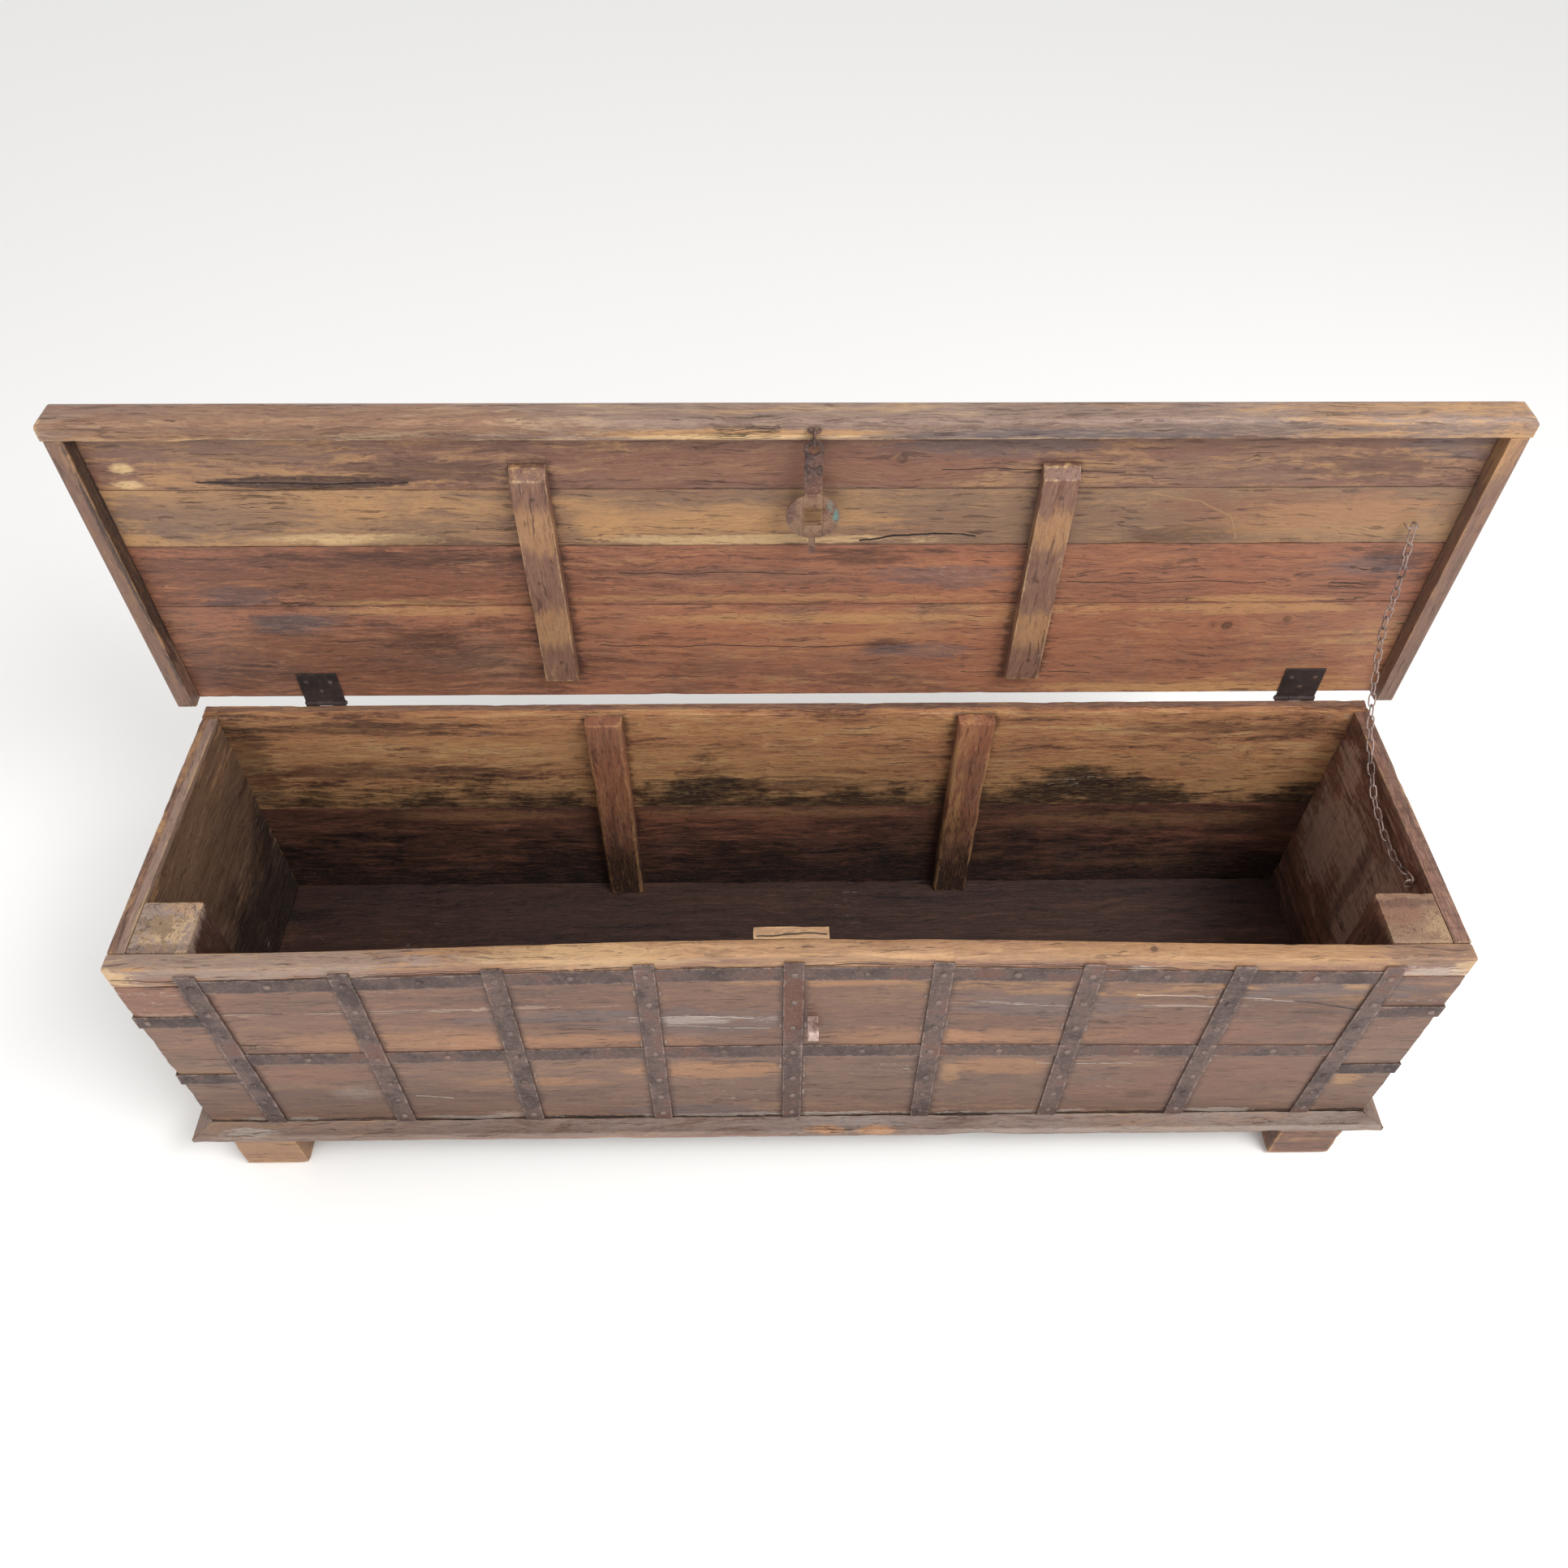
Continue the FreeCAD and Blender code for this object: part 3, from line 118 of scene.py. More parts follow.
class IronSettings(bpy.types.PropertyGroup):
    """Colours and hammering of the ironwork."""

    dents: length_setting("Dents", "Depth of the hammer marks", 0.0005)
    burr: length_setting("Ragged edge", "How far strap edges wander", 0.0012)
    scale: colour_setting("Forge scale", "Dark skin of the iron", 68, 53, 50)
    worn: colour_setting("Worn iron", "Purplish brown of rubbed iron", 103, 83, 77)
    rust: colour_setting("Rust", "Brown rust", 104, 64, 48)
    # On the arrises this pale colour is also a painted highlight.
    dust: colour_setting("Dust", "Pale dust on edges and in pits", 168, 150, 140)
    # As the edge colour of the chain and the catch, this is also a painted highlight.
    bright: colour_setting("Bright metal", "Rubbed bright metal", 200, 176, 166)
    verdigris: colour_setting("Green patina", "Green patina on the hasp's disc", 96, 140, 132)


class StageSettings(bpy.types.PropertyGroup):
    """The camera, lights and floor."""

    camera_place: FloatVectorProperty(
        name="Camera place", description="Where the camera stands", subtype="TRANSLATION",
        unit="LENGTH", size=3, default=(-0.029783, -1.027077, 1.788505))
    camera_heading: FloatProperty(
        name="Heading", description="Turn to the right of straight ahead",
        subtype="ANGLE", unit="ROTATION", default=math.radians(1.1935))
    camera_dip: FloatProperty(
        name="Dip", description="How far the camera looks down",
        subtype="ANGLE", unit="ROTATION", default=math.radians(48.4415))
    camera_roll: FloatProperty(
        name="Roll", description="Lean of the camera",
        subtype="ANGLE", unit="ROTATION", default=math.radians(0.5552))
    focal_pixels: FloatProperty(
        name="Focal length", description="Focal length in pixels of the full frame",
        default=1545.249)
    centre_pixels: FloatVectorProperty(
        name="Optical centre", description="Pixel of the full frame on the camera's axis",
        size=2, default=(968.167, 933.959))
    floor: colour_setting("Floor", "Plain pale floor", 250, 249, 247)
    sky: FloatProperty(name="Sky", description="Strength of the even light", default=0.8)
    key: FloatProperty(name="Key light", description="Power of the large soft lamp",
                       default=90.0, unit="POWER")
    fill: FloatProperty(name="Fill light", description="Power of the front lamp",
                        default=26.0, unit="POWER")


# ------------------------------------------------------------------ finishes
def maths(operation, reflected=False):
    """A method that adds one Math node for an operator."""
    def apply(self, other):
        values = (other, self) if reflected else (self, other)
        return self.finish.node("ShaderNodeMath", {"operation": operation},
                                dict(enumerate(values)))
    return apply


class Number:
    """A shader output that takes part in Python expressions."""

    __add__ = __radd__ = maths("ADD")
    __mul__ = __rmul__ = maths("MULTIPLY")
    __sub__ = maths("SUBTRACT")
    __rsub__ = maths("SUBTRACT", reflected=True)
    __truediv__ = maths("DIVIDE")
    __rtruediv__ = maths("DIVIDE", reflected=True)

    def __init__(self, finish, socket):
        self.finish = finish
        self.socket = socket

    def __abs__(self):
        return self.finish.node("ShaderNodeMath", {"operation": "ABSOLUTE"}, {0: self})

    def wave(self):
        """0 to 1 to 0, once for each turn of this number."""
        turned = self.finish.node("ShaderNodeMath", {"operation": "SINE"},
                                  {0: self * (2 * math.pi)})
        return turned * 0.5 + 0.5

    def rise(self, low, high):
        """0 at low, 1 at high and smooth between, whichever is the larger."""
        return self.finish.node("ShaderNodeMapRange", {"interpolation_type": "SMOOTHSTEP"},
                                {"Value": self, "From Min": low, "From Max": high})

    def part(self, channel):
        """The red, green or blue of this colour."""
        return self.finish.node("ShaderNodeSeparateColor", {}, {0: self}, output=channel)

    def sibling(self, output):
        """Another output of the node that this number comes from."""
        return Number(self.finish, self.socket.node.outputs[output])


class Finish:
    """A material in the making, with one way to add any node to it."""

    def __init__(self, name):
        self.material = bpy.data.materials.new(name)
        self.material.use_nodes = True
        self.tree = self.material.node_tree
        self.shader = self.tree.nodes["Principled BSDF"]
        self.place = self.node("ShaderNodeTexCoord", output="Object")

    def node(self, kind, settings=None, inputs=None, output=0):
        made = self.tree.nodes.new(kind)
        for name, value in (settings or {}).items():
            setattr(made, name, value)
        for name, value in (inputs or {}).items():
            self.feed(made.inputs[name], value)
        return Number(self, made.outputs[output])

    def feed(self, socket, value):
        if isinstance(value, Number):
            self.tree.links.new(value.socket, socket)
        elif socket.type == "RGBA" and len(value) == 3:
            socket.default_value = (*value, 1.0)
        else:
            socket.default_value = value

    def vector(self, operation, *values, output=0):
        return self.node("ShaderNodeVectorMath", {"operation": operation},
                         dict(enumerate(values)), output)

    def along(self, axis):
        """How far along X, Y or Z a place on the piece is, lid open."""
        return self.node("ShaderNodeSeparateXYZ", {}, {0: self.place}, output=axis)

    def noise(self, place, scale, detail=4.0, roughness=0.55, distortion=0.0):
        return self.node("ShaderNodeTexNoise", {}, {
            "Vector": place, "Scale": scale, "Detail": detail, "Roughness": roughness,
            "Distortion": distortion})

    def mix(self, share, first, second):
        return self.node("ShaderNodeMix", {"data_type": "RGBA"},
                         {0: share, 6: first, 7: second}, output=2)

    def patch(self, centre, size, torn, soft):
        """1 inside an egg-shaped place on the piece and 0 outside, with a torn border."""
        away = self.vector("DIVIDE", self.vector("SUBTRACT", self.place, centre), size)
        distance = self.vector("LENGTH", away, output="Value")
        return (distance + torn).rise(1 + soft / 2, 1 - soft / 2)

    def line(self, place, start, end, width, through):
        """1 on a line between two places on the piece, all the way through it along one axis."""
        flat = Vector([0.0 if i == "xyz".index(through) else 1.0 for i in range(3)])
        run = (Vector(end) - Vector(start)) * flat
        away = self.vector("MULTIPLY", self.vector("SUBTRACT", place, start), flat)
        share = self.vector("DOT_PRODUCT", away, run / run.length_squared, output="Value")
        share = self.node("ShaderNodeClamp", {}, {"Value": share})
        nearest = self.vector("SCALE", run)
        self.feed(nearest.socket.node.inputs["Scale"], share)
        gap = self.vector("LENGTH", self.vector("SUBTRACT", away, nearest), output="Value")
        return gap.rise(width / 2, width / 8)

    def beside(self, node, reach, torn):
        """1 on the face of a board right beside another piece, falling to 0 within reach."""
        low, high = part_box(node)
        away = self.vector("ABSOLUTE", self.vector("SUBTRACT", self.place, (low + high) / 2))
        away = self.vector("SUBTRACT", away, (high - low) / 2)
        gap = self.vector("LENGTH", self.vector("MAXIMUM", away, (0, 0, 0)), output="Value")
        return (gap / reach + torn).rise(1.0, 0.0)

    def edge_wear(self):
        """1 on the arrises of a worn piece, falling to 0 on its faces."""
        return self.node("ShaderNodeAttribute", {"attribute_name": WEAR}, output="Fac")

    def surface(self, colour, roughness, height, depth, metallic=0.0):
        normal = self.node("ShaderNodeBump", {}, {"Height": height, "Distance": depth,
                                                  "Strength": 1.0})
        for name, value in (("Base Color", colour), ("Roughness", roughness),
                            ("Normal", normal), ("Metallic", metallic)):
            self.feed(self.shader.inputs[name], value)
        return self.material


@dataclass
class Tint:
    """A place on a piece whose colour differs: a stain, sapwood, crust or a worn spot."""

    colour: tuple
    centre: tuple
    size: tuple
    strength: float = 0.8
    soft: float = 0.7
    ragged: float = 1.0


@dataclass
class Split:
    """A drying crack, scratch or score from one place on a board to another."""

    start: tuple
    end: tuple
    width: float
    colour: tuple
    depth: float = 1.0
    through: str = "y"


@dataclass
class Knot:
    """A knot in a board, with the grain flowing round it."""

    centre: tuple
    radius: float


SEED_STEP = Vector((3.1, 1.7, 2.3))     # how far apart two woods lie in their noises
GRAIN_SQUEEZE = 0.12                    # a streak's width as a share of its length
FIBRE_SQUEEZE = 0.05
CRACK_SQUEEZE = 0.03
DASH_SQUEEZE = 0.07
SAW_SQUEEZE = 0.07
GRAIN_SWAY = 0.024                      # how far the grain wanders from straight
WOOD_RELIEF = 0.0014                    # height of the relief where its number is 1
TICK_DEPTH = 0.4
CRACK_DEPTH = 1.3
SCRATCH_DEPTH = 0.3
SAW_DEPTH = 1.6
STRAP_SHADE_REACH = 0.009               # how far the painted shade spreads beside a strap
STRAP_CRUST_GAP = 0.003
STRAP_CRUST_WIDTH = 0.002
CLEAT_SHADE_REACH = 0.009

# how many features of each kind lie in a metre of wood: the teeth along the grain, the rest
# across it
BLOTCHES = 7.0
BANDS = 19.0
STREAKS = 95.0
FIBRES = 560.0
DASHES = 210.0
SPECKS = 130.0
CRACKS = 55.0
SAPWOOD = 5.0
SAW_TEETH = 150.0


class Wood(Finish):
    """Old oiled hardwood, painted on in layers; colour and height hold what is there so far.

    Its marks stay on one face of a board if face names an axis, a place within the marked half
    and a place within the other half.
    """

    def __init__(self, name, grain, seed, knots, face):
        super().__init__(name)
        self.palette = board_colours()
        self.axis = "xyz".index(grain)
        self.start = SEED_STEP * seed
        self.knots = knots
        self.marked = self.along(face[0]).rise(face[2], face[1]) if face else None
        self.blotch = self.noise(self.vector("ADD", self.place, self.start * 3), BLOTCHES, 4.0, 0.6)
        sway = Vector([0.0 if i == self.axis else GRAIN_SWAY for i in range(3)])
        self.straight = self.vector("MULTIPLY_ADD", self.blotch.sibling("Color"), sway,
                                    self.vector("SUBTRACT", self.place, sway / 2))
        self.flowing = self.straight
        for knot in knots:
            away, near = self.from_knot(knot)
            pull = -0.75 / (near * near * 0.35 + 1.0)
            self.flowing = self.vector("MULTIPLY_ADD", away, pull, self.flowing)
        drawn = self.drawn_out(GRAIN_SQUEEZE)
        self.band = self.noise(drawn, BANDS, 6.0, 0.66, 0.25)
        self.streak = self.noise(drawn, STREAKS, 5.0, 0.68, 0.3)
        self.fibre = self.noise(self.drawn_out(FIBRE_SQUEEZE), FIBRES, 2.0, 0.6)
        self.speck = self.noise(self.vector("ADD", self.place, self.start), SPECKS, 5.0, 0.7)
        self.haze = (self.blotch + (self.speck - 0.5) * 0.5).rise(0.42, 0.66)
        self.torn = ((self.streak - 0.5) * 2.6 + (self.blotch - 0.5) * 1.4
                     + (self.speck - 0.5) * 0.9)
        self.height = self.fibre * 0.28 + self.streak * 0.7 + self.speck * 0.4

    def drawn_out(self, squeeze, further=1):
        """The places of a noise whose features are stretched along the grain."""
        along = [squeeze if i == self.axis else 1.0 for i in range(3)]
        return self.vector("MULTIPLY_ADD", self.flowing, along, self.start * further)

    def from_knot(self, knot):
        """The way from a knot, and how many of its radii away."""
        away = self.vector("SUBTRACT", self.place, knot.centre)
        return away, self.vector("LENGTH", away, output="Value") / knot.radius

    def over(self, share, colour, marks=False):
        """Lays a colour over what is there; marks stay on the marked face."""
        if marks and self.marked:
            share = share * self.marked
        self.colour = self.mix(share, self.colour, colour)

    def grain(self, colours, other, contrast):
        """Dark, middle and light bands along the grain, in other colours on the other face."""
        tone = (self.band - 0.5) * 2.1 + (self.streak - 0.5) * 1.5 * contrast
        tone = tone + (self.speck - 0.5) * 0.5 + 0.5

        def banded(dark, middle, light):
            return self.mix(tone.rise(0.5, 1.0), self.mix(tone.rise(0.02, 0.5), dark, middle),
                            light)

        self.colour = banded(*colours)
        if self.marked:
            self.colour = self.mix(self.marked, banded(*other), self.colour)

    def sapwood(self, amount):
        sap = self.noise(self.drawn_out(GRAIN_SQUEEZE, 2), SAPWOOD, 3.0) + self.torn * 0.16
        share = sap.rise(0.61 - 0.12 * amount, 0.72 - 0.12 * amount)
        self.over(share * 0.75, self.palette.gold)

    def tinted(self, tints):
        for tint in tints:
            share = self.patch(tint.centre, tint.size, self.torn * tint.ragged, tint.soft)
            self.over(share * tint.strength * (self.speck * 0.8 + 0.6), tint.colour, marks=True)

    def knotted(self, dark):
        for knot in self.knots:
            near = self.from_knot(knot)[1] + self.torn * 0.5
            ring = (near * 1.6 + self.streak).wave() * near.rise(3.0, 1.0)
            self.over(ring * 0.35, dark)
            self.over(near.rise(1.0, 0.45) * 0.75, self.palette.shade)

    def sooted_and_shaded(self, top, bottom):
        """Soot and painted shade from a height down, with a torn border: darker towards the bottom.
        """
        depth = self.along("Z") + self.torn * 0.07 + (self.blotch - 0.5) * 0.3
        self.over(depth.rise(top, bottom) * 0.93, self.palette.soot_and_shade, marks=True)

    def fine_grain(self, dark, light):
        """Single fibres, short dark ticks and specks."""
        self.over((self.fibre - 0.5).rise(0.0, 0.16) * 0.3, light)
        self.over((0.5 - self.fibre).rise(0.0, 0.16) * 0.42, dark)
        dash = self.noise(self.drawn_out(DASH_SQUEEZE, 3), DASHES, 3.0, 0.6)
        ticks = dash.rise(0.6, 0.67) * 0.6
        self.over(ticks, self.palette.shade)
        self.over(self.speck.rise(0.6, 0.7) * 0.5, dark)
        self.over(self.speck.rise(0.36, 0.28) * 0.3, light)
        self.height = self.height - ticks * TICK_DEPTH

    def cracked(self, cracks, scratches, dark):
        """Drying cracks and pale scratches along the grain, thick in some places."""
        run = self.noise(self.drawn_out(CRACK_SQUEEZE, 2), CRACKS, 4.0, 0.55, 0.5)
        opened = abs(run - 0.5).rise(0.014, 0.003) * self.blotch.rise(0.64 - cracks * 0.24, 0.7)
        scratched = abs(run - 0.57).rise(0.009, 0.001) * self.speck.rise(0.45, 0.6)
        scratched = scratched * (1 - self.blotch).rise(0.64 - scratches * 0.24, 0.72)
        self.over(opened * 0.9, [v * 0.25 for v in dark])
        self.over(scratched * 0.6, self.palette.ash)
        self.height = self.height - opened * CRACK_DEPTH - scratched * SCRATCH_DEPTH
        self.opened = opened

    def rubbed(self, colour, amount):
        rub = (self.edge_wear() + self.torn * 0.8).rise(0.6, 1.25)
        self.over(rub * amount, colour)

    def split(self, splits):
        for split in splits:
            share = self.line(self.straight, split.start, split.end, split.width, split.through)
            share = share * (self.torn + 1.0).rise(0.62, 0.85)
            if self.marked:
                share = share * self.marked
            self.over(share, split.colour)
            self.height = self.height - share * split.depth

    # Painted shade and dirt: the board darkens next to each cleat, falling off within
    # CLEAT_SHADE_REACH.
    def shade_and_dirt_beside(self, nodes):
        for node in nodes:
            share = self.beside(node, CLEAT_SHADE_REACH, self.torn * 1.5)
            self.over(share * 0.6, self.palette.shade)

    def shade_and_crust_beside_straps(self, straps):
        """Painted shade and a little crust along the upright straps, which stand at an even pitch.
        """
        gap = self.node("ShaderNodeMath", {"operation": "PINGPONG"},
                        {0: self.along("X") - straps.first, 1: straps.pitch / 2})
        gap = gap - straps.width / 2
        # painted shade, darkest at each strap's edge
        painted_strap_shade = (gap / STRAP_SHADE_REACH + self.torn).rise(1.0, 0.0)
        self.over(painted_strap_shade * 0.65, self.palette.shade, marks=True)
        crust = (abs(gap - STRAP_CRUST_GAP) / STRAP_CRUST_WIDTH + self.torn * 2.2).rise(0.6, 0.0)
        crust = crust * (self.blotch - 0.5).rise(0.0, 0.1)
        self.over(crust * 0.35, self.palette.ash, marks=True)

    def sawn(self, amount, dark):
        """Saw marks across the grain."""
        across = [1.0 if i == self.axis else SAW_SQUEEZE for i in range(3)]
        tooth = self.noise(self.vector("MULTIPLY_ADD", self.flowing, across, self.start),
                           SAW_TEETH, 3.0, 0.6)
        self.over(tooth.rise(0.5, 0.66) * amount, dark)
        self.height = self.height + tooth * amount * SAW_DEPTH

    def finished(self, gloss):
        roughness = (1 - gloss) + (self.streak - 0.5) * 0.4 + self.opened * 0.2 + self.haze * 0.06
        return self.surface(self.colour, roughness, self.height, WOOD_RELIEF)


def wood(name, grain, seed, dark, middle, light, film=None, films=0.35, golds=0.0, streaks=1.0,
         cracks=0.4, scratches=0.3, saw=0.0, gloss=0.45, worn=None, wear=0.6, soot_and_shade_heights=None,
         tints=(), splits=(), knots=(), beside=(), straps=None, face=None, other=()):
    """One board's wood, from its grain up to the dirt and the painted shade, with the marks that it
    alone has.
    """
    made = Wood(name + "_wood", grain, seed, knots, face)
    made.grain((dark, middle, light), other, streaks)
    if golds:
        made.sapwood(golds)
    made.over(made.haze * films, film or made.palette.mauve)
    made.tinted(tints)
    made.knotted(dark)
    if soot_and_shade_heights:
        made.sooted_and_shaded(*soot_and_shade_heights)
    made.fine_grain(dark, light)
    made.cracked(cracks, scratches, dark)
    made.rubbed(worn or made.palette.gold, wear)
    made.split(splits)
    made.shade_and_dirt_beside(beside)
    if straps:
        made.shade_and_crust_beside_straps(straps)
    if saw:
        made.sawn(saw, dark)
    return made.finished(gloss)


# how many features of each kind lie in a metre of iron
IRON_GRIT = 800.0
IRON_PITS = 230.0
IRON_LUMPS = 60.0
IRON_CLOUDS = 15.0
IRON_RELIEF = 0.0008


def iron(name, scale, worn, rust, dust, rub=0.5, dusty=0.5, tints=(), metallic=0.25, gloss=0.35,
         rough=0.4):
    """Forged iron: dark scale, rust in the hollows, dust in the pits and rubbed high spots whose
    pale arrises are partly painted highlight.
    """
    f = Finish(name)
    grit = f.noise(f.place, IRON_GRIT, 3.0, 0.7)
    pits = f.noise(f.place, IRON_PITS, 5.0, 0.7)
    lumps = f.noise(f.place, IRON_LUMPS, 4.0, 0.6)
    cloud = f.noise(f.place, IRON_CLOUDS, 5.0, 0.65)
    other_cloud = cloud.sibling("Color").part("Red")
    torn = (lumps - 0.5) * 2.0 + (pits - 0.5) * 1.6
    colour = f.mix((cloud + torn * 0.12).rise(0.3, 0.62), scale, worn)
    colour = f.mix((other_cloud + torn * 0.12).rise(0.5, 0.7) * 0.6, colour, rust)
    for tint in tints:
        share = f.patch(tint.centre, tint.size, torn * tint.ragged, tint.soft)
        colour = f.mix(share * tint.strength, colour, tint.colour)
    hollows = (pits * 0.6 + grit * 0.4).rise(0.47, 0.37)
    colour = f.mix(hollows * 0.6, colour, [v * 0.45 for v in scale])
    flecks = (pits * 0.4 + grit * 0.6).rise(0.55, 0.66)
    colour = f.mix(flecks * dusty, colour, dust)
    # Pale dust and rubbed metal on the arrises, partly real wear and partly painted highlight.
    rubbed = (f.edge_wear() + torn * 0.7).rise(0.6, 1.3) * rub
    colour = f.mix(rubbed, colour, dust)
    roughness = (1 - gloss) + (grit - 0.5) * 0.4 - rubbed * 0.1
    return f.surface(colour, roughness, lumps * rough + pits * 0.5 + grit * 0.25, IRON_RELIEF,
                     metallic)




# ------------------------------------------------------------------ mesh work
SMOOTH_BELOW = math.radians(38)
HARD_ABOVE = math.radians(30)
EDGE_CUTS = (0.003, 0.008, 0.016)      # cuts near an arris, where the wear needs a fine mesh
CLOSE = 1e-6                           # points nearer than this are one point

# how many hollows of each kind lie in a metre, and how far apart two pieces lie in their noises
NICKS = 70.0
SMALL_NICKS = 190.0
BITES = 23.0
WEAR_SEED_STEP = Vector((7.3, 2.9, 5.1))
WEAR_SQUEEZE = 0.3                     # a nick's width as a share of its length along the grain


def node_mesh(node):
    """A node's own solid as an editable mesh, with its flat faces whole again."""
    mesh = bmesh.new()
    mesh.from_mesh(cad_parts[node].data)
    bmesh.ops.remove_doubles(mesh, verts=mesh.verts, dist=CLOSE)
    bmesh.ops.dissolve_limit(mesh, angle_limit=math.radians(0.05), verts=mesh.verts,
                             edges=mesh.edges)
    return mesh


def islands(mesh):
    """The separate solids of a mesh, each as a mesh of its own, in the order of their faces."""
    left = set(mesh.faces)
    for first in mesh.faces:
        if first not in left:
            continue
        left.remove(first)
        reached = [first]
        found = []
        while reached:
            face = reached.pop()
            found.append(face)
            for edge in face.edges:
                for other in edge.link_faces:
                    if other in left:
                        left.remove(other)
                        reached.append(other)
        solid = bmesh.new()
        copies = {v: solid.verts.new(v.co) for f in found for v in f.verts}
        for face in found:
            solid.faces.new([copies[v] for v in face.verts])
        solid.normal_update()
        yield solid


def corners(mesh):
    points = [v.co for v in mesh.verts]
    return (Vector([min(p[i] for p in points) for i in range(3)]),
            Vector([max(p[i] for p in points) for i in range(3)]))


def hard_edges(mesh):
    return [e for e in mesh.edges
            if len(e.link_faces) == 2 and e.calc_face_angle(0.0) > HARD_ABOVE]


def edge_finder(edges, spacing):
    """Finds how far a point is from the nearest of these edges."""
    points = []
    for edge in edges:
        a, b = (v.co.copy() for v in edge.verts)
        count = max(1, int((b - a).length / spacing))
        points += [a.lerp(b, k / count) for k in range(count + 1)]
    tree = kdtree.KDTree(max(1, len(points)))
    for k, point in enumerate(points):
        tree.insert(point, k)
    tree.balance()
    return tree


def cuts_between(low, high, step, near_edges):
    """Places to cut along one axis: close together near both ends, then evenly spaced."""
    length = high - low
    near = [d for d in EDGE_CUTS if near_edges and d < step * 2 and d < length * 0.42]
    first = near[-1] if near else 0.0
    inner = length - 2 * first
    count = max(1, round(inner / step))
    places = [low + first + inner * k / count for k in range(count + 1)]
    places += [low + d for d in near[:-1]] + [high - d for d in near[:-1]]
    return [p for p in sorted(places) if low + 1e-5 < p < high - 1e-5]


def slice_up(mesh, spacing, near_edges):
    """Cuts a solid into a grid, longest side first, so that there is mesh to wear away."""
    low, high = corners(mesh)
    for axis in sorted(range(3), key=lambda i: low[i] - high[i]):
        across = Vector([float(i == axis) for i in range(3)])
        for place in cuts_between(low[axis], high[axis], spacing[axis], near_edges):
            bmesh.ops.bisect_plane(mesh, geom=mesh.verts[:] + mesh.edges[:] + mesh.faces[:],
                                   plane_co=across * place, plane_no=across, dist=CLOSE)


def wear_down(mesh, arris, spacing, chips, waver, seed, grain=None, reach=0.004, lumps=14.0,
              near_edges=True, marks=None):
    """Rounds a solid's edges, slices it, and wears it: always inwards from the frame's surface."""
    hard = hard_edges(mesh)
    finder = edge_finder(hard, min(spacing) / 3)
    bmesh.ops.bevel(mesh, geom=hard, offset=arris, segments=2, profile=0.6,
                    affect="EDGES", clamp_overlap=True)
    slice_up(mesh, spacing, near_edges)
    mesh.normal_update()
    wear = mesh.verts.layers.float.new(WEAR)
    stretch = Vector([WEAR_SQUEEZE if "xyz"[i] == grain else 1.0 for i in range(3)])
    start = WEAR_SEED_STEP * seed
    moves = []
    for vertex in mesh.verts:
        gap = finder.find(vertex.co)[2]
        near = math.exp(-(gap / reach) ** 2)
        place = vertex.co * stretch + start
        nick = noise.noise(place * NICKS) + 0.6 * noise.noise(place * SMALL_NICKS)
        nick = max(0.0, nick - 0.12)
        bite = max(0.0, noise.noise(place * BITES) - 0.34) * math.exp(-(gap / (reach * 2)) ** 2)
        plane = 0.5 + 0.5 * noise.noise(place * lumps)
        depth = waver * plane + chips * (near * nick + 3.0 * bite)
        if marks:
            depth += marks(vertex.co, vertex.normal)
        moves.append(vertex.normal * -depth)
        vertex[wear] = near
    for vertex, move in zip(mesh.verts, moves):
        vertex.co += move
    return mesh


def piece(name, mesh, material, body, slot, *nodes):
    """Turns a mesh into a piece of the chest that stands for its frame nodes."""
    data = bpy.data.meshes.new(name)
    mesh.to_mesh(data)
    mesh.free()
    data.shade_smooth()
    data.set_sharp_from_angle(angle=SMOOTH_BELOW)
    data.materials.append(material)
    made = bpy.data.objects.new(name, data)
    bpy.context.scene.collection.objects.link(made)
    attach(made, body)
    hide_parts(*nodes)
    return made


def joined(meshes):
    """Several meshes as one, with their wear kept."""
    whole = bmesh.new()
    for mesh in meshes:
        data = bpy.data.meshes.new("part")
        mesh.to_mesh(data)
        mesh.free()
        whole.from_mesh(data)
        bpy.data.meshes.remove(data)
    return whole


BOARD_STEP_ALONG = 0.007
BOARD_STEP_ACROSS = 0.016


def worn_board(node, material, body, slot, grain, seed, arris=None, chips=None, reach=0.004,
               marks=None):
    """A board, rail, post or foot, worn along its arrises; loose boards of one node one by one."""
    boards = bpy.context.scene.chest_boards
    spacing = [BOARD_STEP_ALONG if "xyz"[i] == grain else BOARD_STEP_ACROSS for i in range(3)]
    solids = [wear_down(solid, boards.arris if arris is None else arris, spacing,
                        boards.chips if chips is None else chips, boards.waver, seed + k, grain,
                        reach, marks=marks)
              for k, solid in enumerate(islands(node_mesh(node)))]
    return piece(node + "_worn", joined(solids), material, body, slot, node)


def worn_iron(node, material, body, slot, spacing, seed, arris=0.0006, burr=None, dents=None,
              reach=0.003, marks=None):
    """Forged bars and plates, each solid hammered by itself."""
    metal = bpy.context.scene.chest_iron
    solids = [wear_down(solid, arris, (spacing,) * 3, metal.burr if burr is None else burr,
                        metal.dents if dents is None else dents, seed + k * 0.37, reach=reach,
                        lumps=34.0, near_edges=False, marks=marks)
              for k, solid in enumerate(islands(node_mesh(node)))]
    return piece(node + "_forged", joined(solids), material, body, slot, node)


# shares of a wire's radius: out before it is smoothed round, in again by the hammering
WIRE_SWELL = 0.2
WIRE_HAMMERED = 0.14
WIRE_DENTS = 260.0          # dents in a metre of wire


